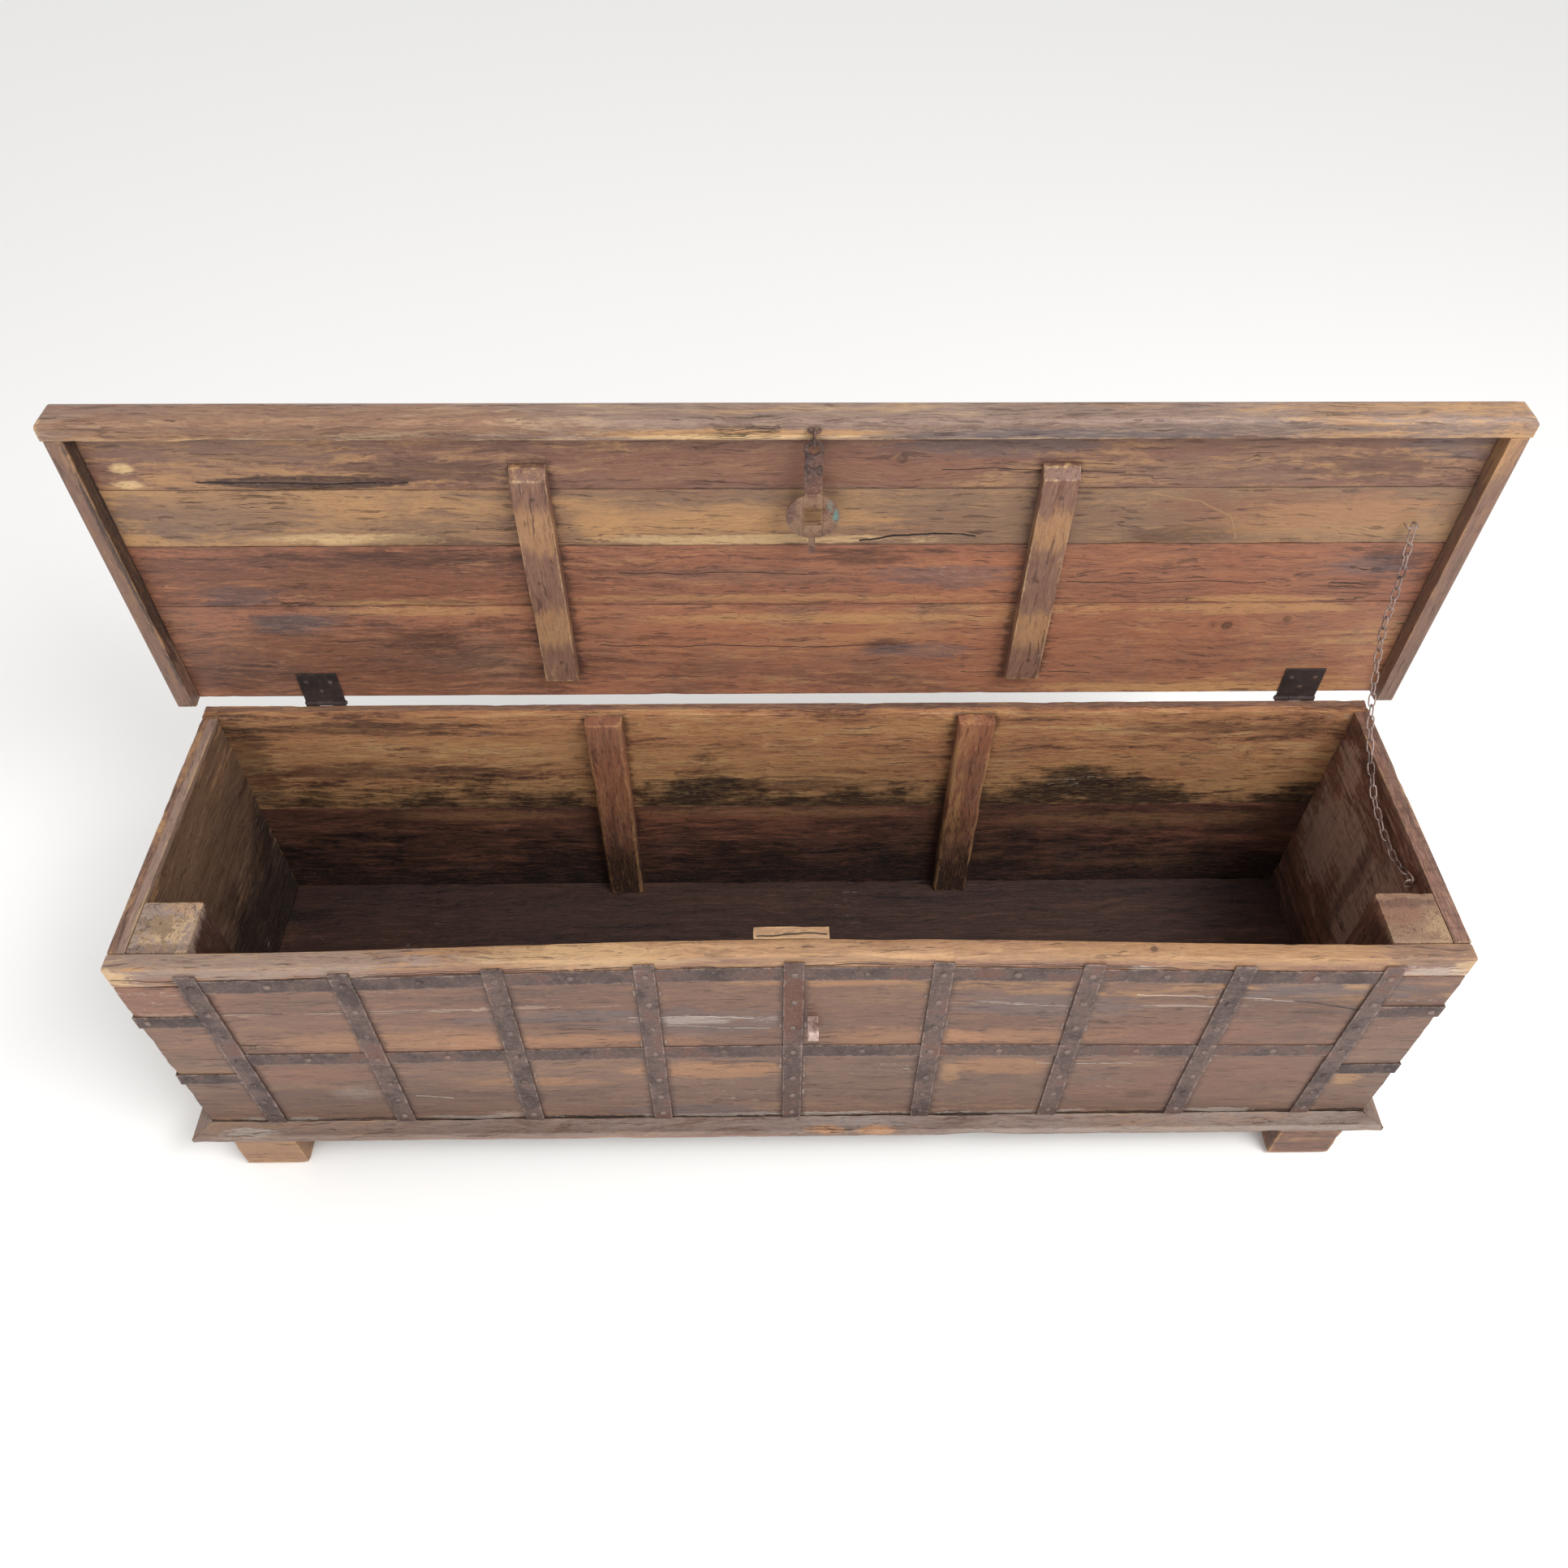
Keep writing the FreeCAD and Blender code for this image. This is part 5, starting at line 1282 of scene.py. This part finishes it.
class CHEST_OT_posts(bpy.types.Operator):
    """Build the corner posts, the back cleats and the lock block"""

    bl_idname = "chest.posts"
    bl_label = "Posts, cleats and lock block"
    bl_options = {"REGISTER", "UNDO"}

    def execute(self, context):
        c = board_colours()
        for side, seed in (("left", 9), ("right", 19)):
            worn_board("corner_post_" + side, corner_post_wood(c, side, seed), "case", "case_wood",
                       "z", seed, arris=0.003, chips=0.004, reach=0.006)
            worn_board("back_cleat_" + side, back_cleat_wood(c, side, seed + 1), "case",
                       "case_wood", "z", seed + 1)
        worn_board("lock_block", lock_block_wood(c), "case", "case_wood", "x", 11, chips=0.003)
        return {"FINISHED"}


def moulding_wood(c, side, grain, seed):
    greyed = between(between(c.mauve, c.stain, 0.25), c.ash, 0.12)
    tints = []
    if side == "front":
        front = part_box("base_moulding_front")[0].y
        orange = between(c.gold, c.russet, 0.4)
        tints = [
            Tint(between(c.ash, c.stain, 0.3), (-0.775, front + 0.006, MOULDING_TOP_Z),
                 (0.05, 0.01, 0.01), 0.7),
            Tint(between(c.stain, c.ash, 0.3), (0.1, front + 0.012, MOULDING_TOP_Z),
                 (0.1, 0.012, 0.012), 0.6),
            Tint(orange, (0.05, front + 0.004, 0.1), (0.03, 0.008, 0.008), 0.8),
            Tint(orange, (0.12, front + 0.004, 0.099), (0.03, 0.008, 0.008), 0.8),
            Tint(between(greyed, c.ash, 0.35), (0.55, front, 0.097), (0.3, 0.012, 0.006), 0.5),
            Tint(c.russet, (-0.3, front, 0.09), (0.3, 0.012, 0.004), 0.35),
        ]
    return wood("moulding_" + side, grain, seed, between(c.shade, c.mauve, 0.5), greyed,
                between(greyed, c.gold, 0.35), films=0.4, gloss=0.5,
                worn=between(greyed, c.straw, 0.35), wear=0.4, tints=tints)


def foot_wood(c, name, side, seed):
    if side == "left":
        return wood(name, "x", seed, between(c.heart, c.gold, 0.2),
                    between(c.gold, c.mauve, 0.6), between(c.gold, c.mauve, 0.3), films=0.2,
                    golds=0.2)
    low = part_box(name)[0]
    pale = Tint(c.gold, (low.x + 0.045, low.y, 0.05), (0.04, 0.02, 0.006), 0.35, ragged=2.0)
    return wood(name, "x", seed, c.shade, between(c.shade, c.heart, 0.6),
                between(c.heart, c.gold, 0.4), films=0.3, tints=[pale])


class CHEST_OT_base(bpy.types.Operator):
    """Build the base moulding and the four block feet"""

    bl_idname = "chest.base"
    bl_label = "Base moulding and feet"
    bl_options = {"REGISTER", "UNDO"}

    def execute(self, context):
        c = board_colours()
        for side, grain, seed in (("front", "x", 12), ("left", "y", 13), ("right", "y", 14)):
            worn_board("base_moulding_" + side, moulding_wood(c, side, grain, seed), "case",
                       "front_wood", grain, seed, chips=0.0022)
        for seed, (row, side) in enumerate((("front", "left"), ("front", "right"),
                                            ("rear", "left"), ("rear", "right")), 15):
            name = "foot_%s_%s" % (row, side)
            worn_board(name, foot_wood(c, name, side, seed), "case", "foot_wood", "x", seed,
                       arris=0.0012, chips=0.0035, reach=0.006)
        return {"FINISHED"}


class CHEST_OT_straps(bpy.types.Operator):
    """Build the straps and bands with their rivets"""

    bl_idname = "chest.straps"
    bl_label = "Straps and rivets"
    bl_options = {"REGISTER", "UNDO"}

    def execute(self, context):
        c = iron_colours()
        stain = Tint(c.rust, on_front(0.0, 0.4), spot(0.022, 0.075), 0.7)
        upright = iron("upright_strap_iron", c.scale, c.worn, c.rust, c.dust, tints=[
            stain, Tint(c.scale, on_front(0.0, 0.2), spot(0.03, 0.08), 0.5)])
        band = iron("band_iron", c.scale, between(c.worn, c.scale, 0.3), c.rust, c.dust)
        corner = iron("corner_strap_iron", between(c.scale, (0, 0, 0), 0.3),
                      between(c.worn, c.scale, 0.5), c.rust, c.dust, dusty=0.3)
        for node, metal, spacing in (("front_upright_straps", upright, 0.005),
                                     ("front_bands", band, 0.006),
                                     ("corner_straps", corner, 0.005),
                                     ("end_wall_straps", corner, 0.007)):
            worn_iron(node, metal, "case", "strap_iron", spacing, 20)
        heads = [self.head(solid) for solid in islands(node_mesh("strap_rivets"))]
        rivet = iron("rivet_iron", c.scale, between(c.worn, c.dust, 0.35), c.rust, c.dust, rub=0.8)
        piece("strap_rivet_heads", joined(heads), rivet, "case", "strap_iron", "strap_rivets")
        return {"FINISHED"}

    def head(self, solid):
        """A hammered dome in the place of one of the frame's faceted heads."""
        low, high = corners(solid)
        solid.free()
        middle = (low + high) / 2
        outward = Vector((0, -1, 0))
        if abs(middle.x) > CASE_HIGH.x:
            outward = Vector((math.copysign(1, middle.x), 0, 0))
        half_height = min(high[i] - low[i] for i in range(3)) / 2
        return dome(middle - outward * half_height, outward, Vector((0, 0, 1)),
                    (high.z - low.z) / 2, half_height * 2.2, 0.16)


def lid_board_wood(c, number, grain_colours, **rest):
    return wood("lid_board_%d" % number, "x", 30 + number, *grain_colours, worn=c.shade,
                beside=LID_CLEATS, face=LID_INSIDE, other=weathered(), **rest)


def lid_board_1_wood(c):
    brown = between(c.mauve, c.olive, 0.5)
    tints = tints_on(on_lid, [
        (c.stain, -0.653, 0.655, 0.06, 0.018, 0.7),
        (c.shade, -0.487, 0.615, 0.045, 0.018, 0.6),
        (brown, -0.427, 0.584, 0.09, 0.022, 0.5),
        (c.gold, 0.051, 0.661, 0.2, 0.008, 0.7),
        (c.gold, -0.5, 0.676, 0.13, 0.008, 0.6),
        (c.shade, 0.135, 0.611, 0.03, 0.012, 0.6),
        (c.gold, 0.56, 0.527, 0.22, 0.01, 0.8),
        (c.gold, 0.61, 0.675, 0.13, 0.008, 0.6),
        (c.heart, 0.0, 0.57, 0.3, 0.02, 0.4),
        (c.russet, 0.4, 0.62, 0.1, 0.025, 0.4),
        (c.russet, -0.1, 0.64, 0.15, 0.014, 0.4),
        (c.shade, -0.6, 0.58, 0.3, 0.07, 0.45, 0.7, 1.5),
        (c.stain, 0.17, 0.6, 0.06, 0.012, 0.5),
    ])
    splits = splits_on(on_lid, [
        (-0.256, 0.614, 0.14, 0.612, 0.002, c.shade),
        (-0.5, 0.589, -0.37, 0.581, 0.0014, c.mauve, 0.3),
        (0.24, 0.56, 0.42, 0.556, 0.0016, c.shade),
    ])
    knots = [Knot(on_lid(0.59, 0.644), 0.009), Knot(on_lid(0.668, 0.655), 0.007)]
    grain = (between(c.shade, c.heart, 0.6), between(c.russet, c.mauve, 0.2),
             between(c.russet, c.gold, 0.45))
    return lid_board_wood(c, 1, grain, films=0.5, golds=0.2, tints=tints, splits=splits,
                          knots=knots)


def lid_board_2_wood(c):
    tints = tints_on(on_lid, [
        (c.russet, -0.431, 0.712, 0.2, 0.022, 0.6),
        (c.gold, -0.5, 0.69, 0.11, 0.007, 0.7),
        (c.shade, -0.44, 0.766, 0.13, 0.014, 0.6),
        (c.stain, -0.711, 0.7, 0.05, 0.02, 0.5),
        (c.russet, 0.277, 0.753, 0.07, 0.016, 0.6),
        (c.shade, 0.778, 0.757, 0.045, 0.022, 0.7),
        (c.stain, 0.74, 0.745, 0.06, 0.016, 0.5),
        (c.gold, 0.62, 0.692, 0.12, 0.006, 0.6),
        (c.shade, 0.09, 0.765, 0.05, 0.012, 0.6),
        (c.mauve, -0.06, 0.735, 0.15, 0.014, 0.35),
        (c.shade, -0.55, 0.735, 0.32, 0.05, 0.45, 0.7, 1.5),
        (c.stain, 0.2, 0.735, 0.09, 0.014, 0.45, 0.7, 1.6),
        (c.gold, -0.05, 0.697, 0.24, 0.006, 0.5, 0.7, 1.5),
    ])
    splits = splits_on(on_lid, [
        (-0.22, 0.741, 0.02, 0.738, 0.0016, c.shade),
        (0.36, 0.722, 0.62, 0.719, 0.0016, c.shade),
    ])
    grain = (between(c.shade, c.heart, 0.3), between(c.heart, c.russet, 0.45),
             between(c.russet, c.gold, 0.2))
    return lid_board_wood(c, 2, grain, film=between(c.heart, c.mauve, 0.4), films=0.4, golds=0.1,
                          cracks=0.5, tints=tints, splits=splits)


def lid_board_3_wood(c):
    tints = tints_on(on_lid, [
        (c.straw, -0.556, 0.796, 0.1, 0.008, 0.7),
        (c.mauve, -0.7, 0.83, 0.12, 0.03, 0.5),
        (c.shade, -0.46, 0.79, 0.08, 0.01, 0.5),
        (c.gold, -0.075, 0.825, 0.18, 0.02, 0.6),
        (c.straw, -0.05, 0.793, 0.2, 0.007, 0.6),
        (c.gold, -0.236, 0.819, 0.03, 0.03, 0.6),
        (c.heart, 0.6, 0.835, 0.16, 0.03, 0.6),
        (c.shade, 0.5, 0.8, 0.07, 0.012, 0.5),
        (c.gold, 0.68, 0.82, 0.14, 0.03, 0.4),
    ])
    pale = between(c.gold, c.olive, 0.6)
    crack = [on_lid(x, z)
             for x, z in ((0.087, 0.79), (0.13, 0.797), (0.18, 0.799), (0.23, 0.795))]
    splits = [Split(a, b, 0.0042, c.soot_and_shade) for a, b in zip(crack, crack[1:])]
    swirl = [on_lid(x, z)
             for x, z in ((0.44, 0.858), (0.5, 0.85), (0.545, 0.825), (0.561, 0.792))]
    splits += [Split(a, b, 0.0022, pale, 0.0) for a, b in zip(swirl, swirl[1:])]
    grain = (between(c.heart, c.olive, 0.5), between(c.olive, c.mauve, 0.4),
             between(c.gold, c.olive, 0.5))
    return lid_board_wood(c, 3, grain, films=0.4, golds=0.3, tints=tints, splits=splits)


def lid_board_4_wood(c):
    tints = tints_on(on_lid, [
        (between(c.soot_and_shade, c.shade, 0.7), -0.582, 0.8815, 0.125, 0.0105, 0.92, 0.3, 0.35),
        (between(c.shade, c.mauve, 0.5), -0.602, 0.8825, 0.08, 0.004, 0.5),
        (c.shade, -0.43, 0.898, 0.1, 0.016, 0.6),
        (c.straw, -0.791, 0.902, 0.012, 0.006, 0.8),
        (c.straw, -0.792, 0.878, 0.016, 0.006, 0.8),
        (c.mauve, -0.66, 0.925, 0.14, 0.02, 0.5),
        (c.heart, 0.0, 0.905, 0.25, 0.025, 0.5),
        (c.stain, 0.25, 0.93, 0.12, 0.014, 0.5),
        (c.mauve, 0.52, 0.89, 0.12, 0.022, 0.5),
        (c.shade, 0.7, 0.9, 0.08, 0.018, 0.5),
        (c.stain, 0.79, 0.93, 0.05, 0.02, 0.5),
    ])
    splits = splits_on(on_lid, [
        (-0.71, 0.8805, -0.46, 0.8815, 0.0028, c.soot_and_shade),
        (0.18, 0.898, 0.4, 0.892, 0.0016, c.shade),
    ])
    knots = [Knot(on_lid(0.131, 0.914), 0.008)]
    grain = (between(c.shade, c.heart, 0.45), between(c.heart, c.mauve, 0.5),
             between(c.mauve, c.gold, 0.35))
    return lid_board_wood(c, 4, grain, films=0.4, golds=0.1, tints=tints, splits=splits,
                          knots=knots)


def lid_front_rail_wood(c):
    dusty = between(between(c.mauve, c.ash, 0.2), c.heart, 0.2)
    left = between(c.heart, c.gold, 0.25)
    tints = tints_on(on_rail, [
        (c.gold, -0.739, 0.958, 0.1, 0.008, 0.7),
        (c.gold, -0.06, 0.963, 0.16, 0.006, 0.8),
        (c.straw, -0.05, 0.958, 0.12, 0.003, 0.7),
        (c.stain, 0.3, 0.96, 0.16, 0.008, 0.7),
        (between(c.stain, c.mauve, 0.5), 0.56, 0.968, 0.18, 0.008, 0.5),
        (c.gold, 0.835, 0.945, 0.02, 0.02, 0.7),
        (c.shade, -0.4, 0.957, 0.12, 0.005, 0.5),
        (left, -0.6, 0.972, 0.35, 0.016, 0.7),
        (c.shade, -0.6, 0.966, 0.35, 0.012, 0.3),
    ])
    return wood("lid_front_rail", "x", 35, between(c.mauve, c.shade, 0.45), dusty,
                between(dusty, c.straw, 0.4), films=0.3, golds=0.1, worn=c.straw, wear=0.4,
                tints=tints)


def lid_side_rail_wood(c, side, seed):
    low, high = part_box("lid_side_rail_" + side)
    if side == "left":
        tints = [Tint(c.soot_and_shade, (high.x, RAIL_FACE_Y + 0.012, 0.8), (0.008, 0.03, 0.2), 0.8)]
    else:
        tints = [Tint(c.gold, (low.x, RAIL_FACE_Y, 0.93), (0.02, 0.03, 0.04), 0.5)]
    return wood("lid_side_rail_" + side, "z", seed, between(c.shade, c.mauve, 0.5),
                between(c.mauve, c.heart, 0.25), between(c.mauve, c.gold, 0.4), films=0.4,
                wear=0.5, tints=tints)


def lid_cleat_wood(c, side, seed):
    low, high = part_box("lid_cleat_" + side)
    face = low.y
    middle_x = (low.x + high.x) / 2
    tints = [Tint(c.shade, (middle_x + dx, face, z), (0.003, 0.02, 0.003), 0.7, 0.4, 0.3)
             for dx, z in ((0.004, 0.6), (-0.006, 0.74), (0.003, 0.87))]
    tints += [Tint(c.gold, (middle_x, face, z), (0.03, 0.02, 0.03), 0.5)
              for z in (0.66, 0.82)]
    return wood("lid_cleat_" + side, "z", seed, between(c.shade, c.heart, 0.5),
                between(c.mauve, c.heart, 0.4), between(c.mauve, c.gold, 0.5),
                golds=0.2, worn=c.straw, tints=tints)


class CHEST_OT_lid(bpy.types.Operator):
    """Build the lid: four boards, three rails and two cleats"""

    bl_idname = "chest.lid"
    bl_label = "Lid"
    bl_options = {"REGISTER", "UNDO"}

    def execute(self, context):
        c = board_colours()
        boards = context.scene.chest_boards
        makers = (lid_board_1_wood, lid_board_2_wood, lid_board_3_wood, lid_board_4_wood)
        for number, make in enumerate(makers, 1):
            worn_board("lid_board_%d" % number, make(c), "lid", "lid_wood", "x", 30 + number,
                       arris=boards.seam_arris, chips=0.0014)
        worn_board("lid_front_rail", lid_front_rail_wood(c), "lid", "lid_wood", "x", 35,
                   arris=0.0014, chips=0.0018)
        for side, seed in (("left", 36), ("right", 37)):
            worn_board("lid_side_rail_" + side, lid_side_rail_wood(c, side, seed), "lid",
                       "lid_wood", "z", seed, arris=0.0012)
            worn_board("lid_cleat_" + side, lid_cleat_wood(c, side, seed + 2), "lid", "lid_wood",
                       "z", seed + 2)
        return {"FINISHED"}


SCREW_PROUD = 0.0004
SCREW_TURN = 0.9              # how far each screw's slot is turned from the one before


class CHEST_OT_hinges(bpy.types.Operator):
    """Build the two butt hinges with their pins and screws"""

    bl_idname = "chest.hinges"
    bl_label = "Hinges"
    bl_options = {"REGISTER", "UNDO"}

    def execute(self, context):
        c = iron_colours()
        dark = between(c.scale, (0, 0, 0), 0.65)
        black = iron("hinge_iron", dark, between(c.scale, dark, 0.4), dark, c.worn, rub=0.4,
                     dusty=0.3)
        for side in ("left", "right"):
            for owner, seed in (("case", 41), ("lid", 42)):
                worn_iron("%s_hinge_leaf_%s" % (owner, side), black, owner, "hinge_iron", 0.004,
                          seed, burr=0.0002, dents=0.0001)
        worn_iron("hinge_pins", black, "case", "hinge_iron", 0.004, 43, arris=0.0003, burr=0.0,
                  dents=0.0)
        steel = iron("hinge_screw_steel", c.scale, c.worn, c.rust, c.dust, rub=0.8)
        for owner, outward in (("case", Vector((0, 1, 0))), ("lid", Vector((0, -1, 0)))):
            node = owner + "_hinge_screws"
            screws = [self.screw(solid, outward, k)
                      for k, solid in enumerate(islands(node_mesh(node)))]
            piece(node + "_slotted", joined(screws), steel, owner, "hinge_iron", node)
        return {"FINISHED"}

    def screw(self, solid, outward, count):
        """A slotted head on the shank of one of the frame's screws."""
        low, high = corners(solid)
        crown = Vector(((low.x + high.x) / 2, high.y if outward.y > 0 else low.y,
                        (low.z + high.z) / 2))
        radius = (high.x - low.x) / 2
        foot = crown - outward * SCREW_PROUD
        head = slotted_head(foot, outward, radius, SCREW_PROUD * 0.98, SCREW_TURN * count)
        bmesh.ops.bisect_plane(solid, geom=solid.verts[:] + solid.edges[:] + solid.faces[:],
                               plane_co=foot - outward * SCREW_PROUD, plane_no=outward,
                               clear_outer=True)
        bmesh.ops.holes_fill(solid, edges=[e for e in solid.edges if e.is_boundary])
        return joined([head, solid])


CHAIN_LENGTHS = 11

# radius of each wire
HASP_STAPLE_WIRE = 0.002
HASP_LINK_WIRE = 0.0018
CHAIN_STAPLE_WIRE = 0.0015
CHAIN_WIRE = 0.0012


class CHEST_OT_hasp(bpy.types.Operator):
    """Build the hasp on its link and staple, and the catch on the front"""

    bl_idname = "chest.hasp"
    bl_label = "Hasp and catch"
    bl_options = {"REGISTER", "UNDO"}

    EYE_DROP = 0.0125             # top of the plate to its eye
    EYE_TO_DISC = 0.095
    STRIP = 0.012                 # middle of the disc to the bars beside its slot
    MARK_DEPTH = 0.0009
    MARK_WIDTH = 0.0009
    EYE_RINGS = (0.0092, 0.0135)
    CROSS = (0.022, 0.029, 0.036)  # top, middle and bottom of the cross, below the eye
    CHEVRONS = (0.045, 0.049)     # their points, below the eye
    CHEVRONS_REACH = (0.044, 0.054)  # top and bottom of both, below the eye
    COLLAR = 0.062                # the line across, below the eye
    DISC_HALF_HEIGHT = 0.03
    SLANT = 0.9                   # of the cross and the chevrons
    SHANK_HALF_WIDTH = 0.008
    COLLAR_HALF_WIDTH = 0.011

    def execute(self, context):
        c = iron_colours()
        low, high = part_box("hasp_plate")
        self.eye = Vector(((low.x + high.x) / 2, low.y, high.z - self.EYE_DROP))
        self.disc = self.eye - Vector((0, 0, self.EYE_TO_DISC))
        tan = board_colours().gold
        bronze = between(between(c.dust, c.rust, 0.5), tan, 0.5)
        brown = between(c.worn, c.rust, 0.45)
        patina = [Tint(bronze, self.disc, (0.036, 0.02, 0.032), 0.55, ragged=2.0),
                  Tint(between(c.verdigris, c.worn, 0.4), self.disc + Vector((0.02, 0, 0.014)),
                       (0.005, 0.01, 0.009), 0.5, ragged=1.6),
                  Tint(c.verdigris, self.disc + Vector((0.028, 0, 0.002)), (0.004, 0.01, 0.009),
                       0.7)]
        rusty = iron("hasp_iron", between(c.scale, (0, 0, 0), 0.3), brown, c.rust,
                     between(c.dust, bronze, 0.3), tints=patina, rub=0.1, dusty=0.8, rough=1.4)
        rounded_wire("hasp_staple", HASP_STAPLE_WIRE, rusty, "lid", "hasp_iron", 51)
        rounded_wire("hasp_link", HASP_LINK_WIRE, rusty, "hasp_link", "hasp_iron", 52)
        worn_iron("hasp_plate", rusty, "hasp_plate", "hasp_iron", 0.0012, 53, arris=0.0007,
                  burr=0.0008, dents=0.0004, marks=self.chiselled)
        steel = iron("catch_steel", c.rust, between(c.bright, c.dust, 0.3), c.worn, c.bright,
                     rub=1.0, metallic=0.5, gloss=0.55)
        worn_iron("hasp_catch", steel, "case", "catch_steel", 0.003, 54, arris=0.0008,
                  burr=0.0004, dents=0.0002)
        return {"FINISHED"}

    def chiselled(self, place, normal):
        """Depth of the rings round the eye, the marks on the shank and the lines on the disc."""
        if normal.y > -0.7:
            return 0.0
        side = abs(place.x - self.eye.x)
        drop = self.eye.z - place.z
        around = math.hypot(side, drop)
        gaps = []
        if drop > -0.004:
            gaps += [abs(around - ring) for ring in self.EYE_RINGS]
        top, middle, bottom = self.CROSS
        if top < drop < bottom and side < self.SHANK_HALF_WIDTH:
            gaps += [abs(side - abs(drop - middle) * self.SLANT)]
        top, bottom = self.CHEVRONS_REACH
        if top < drop < bottom and side < self.SHANK_HALF_WIDTH:
            gaps += [abs(drop - point - side * self.SLANT) for point in self.CHEVRONS]
        if side < self.COLLAR_HALF_WIDTH:
            gaps += [abs(drop - self.COLLAR)]
        if abs(place.z - self.disc.z) < self.DISC_HALF_HEIGHT:
            gaps += [abs(side - self.STRIP)]
        nearest = min(gaps, default=1.0)
        return self.MARK_DEPTH * math.exp(-(nearest / self.MARK_WIDTH) ** 2)


class CHEST_OT_chain(bpy.types.Operator):
    """Build the chain stay, its end ring and its two staples"""

    bl_idname = "chest.chain"
    bl_label = "Chain stay"
    bl_options = {"REGISTER", "UNDO"}

    def execute(self, context):
        c = iron_colours()
        rusty = iron("chain_iron", between(c.scale, c.worn, 0.5), between(c.worn, c.bright, 0.6),
                     between(c.rust, c.worn, 0.4), c.bright, rub=0.8, metallic=0.3, gloss=0.5)
        rounded_wire("chain_wall_staple", CHAIN_STAPLE_WIRE, rusty, "case", "chain_iron", 60)
        rounded_wire("chain_lid_staple", CHAIN_STAPLE_WIRE, rusty, "lid", "chain_iron", 61)
        for k in range(1, CHAIN_LENGTHS + 1):
            rounded_wire("chain_length_%02d" % k, CHAIN_WIRE, rusty, "chain_%02d" % k,
                         "chain_iron", 61 + k)
        return {"FINISHED"}


STEPS = (CHEST_OT_stage, CHEST_OT_front, CHEST_OT_walls, CHEST_OT_posts, CHEST_OT_base,
         CHEST_OT_straps, CHEST_OT_lid, CHEST_OT_hinges, CHEST_OT_hasp, CHEST_OT_chain)
SETTINGS = {"chest_boards": BoardSettings, "chest_iron": IronSettings,
            "chest_stage": StageSettings}


class CHEST_PT_panel(bpy.types.Panel):
    """Lists the chest's settings and the steps that build it"""

    bl_label = "Storage Chest"
    bl_idname = "CHEST_PT_panel"
    bl_space_type = "VIEW_3D"
    bl_region_type = "UI"
    bl_category = "Chest"

    def draw(self, context):
        for name, group in SETTINGS.items():
            box = self.layout.box()
            settings = getattr(context.scene, name)
            for field in group.__annotations__:
                box.prop(settings, field)
        for step in STEPS:
            self.layout.operator(step.bl_idname)


def register():
    for name, group in SETTINGS.items():
        bpy.utils.register_class(group)
        setattr(bpy.types.Scene, name, PointerProperty(type=group))
    for step in (*STEPS, CHEST_PT_panel):
        bpy.utils.register_class(step)


def unregister():
    for step in (CHEST_PT_panel, *reversed(STEPS)):
        bpy.utils.unregister_class(step)
    for name, group in SETTINGS.items():
        delattr(bpy.types.Scene, name)
        bpy.utils.unregister_class(group)


def main():
    register()
    for step in STEPS:
        area, name = step.bl_idname.split(".")
        getattr(getattr(bpy.ops, area), name)()


if __name__ == "__main__":
    main()
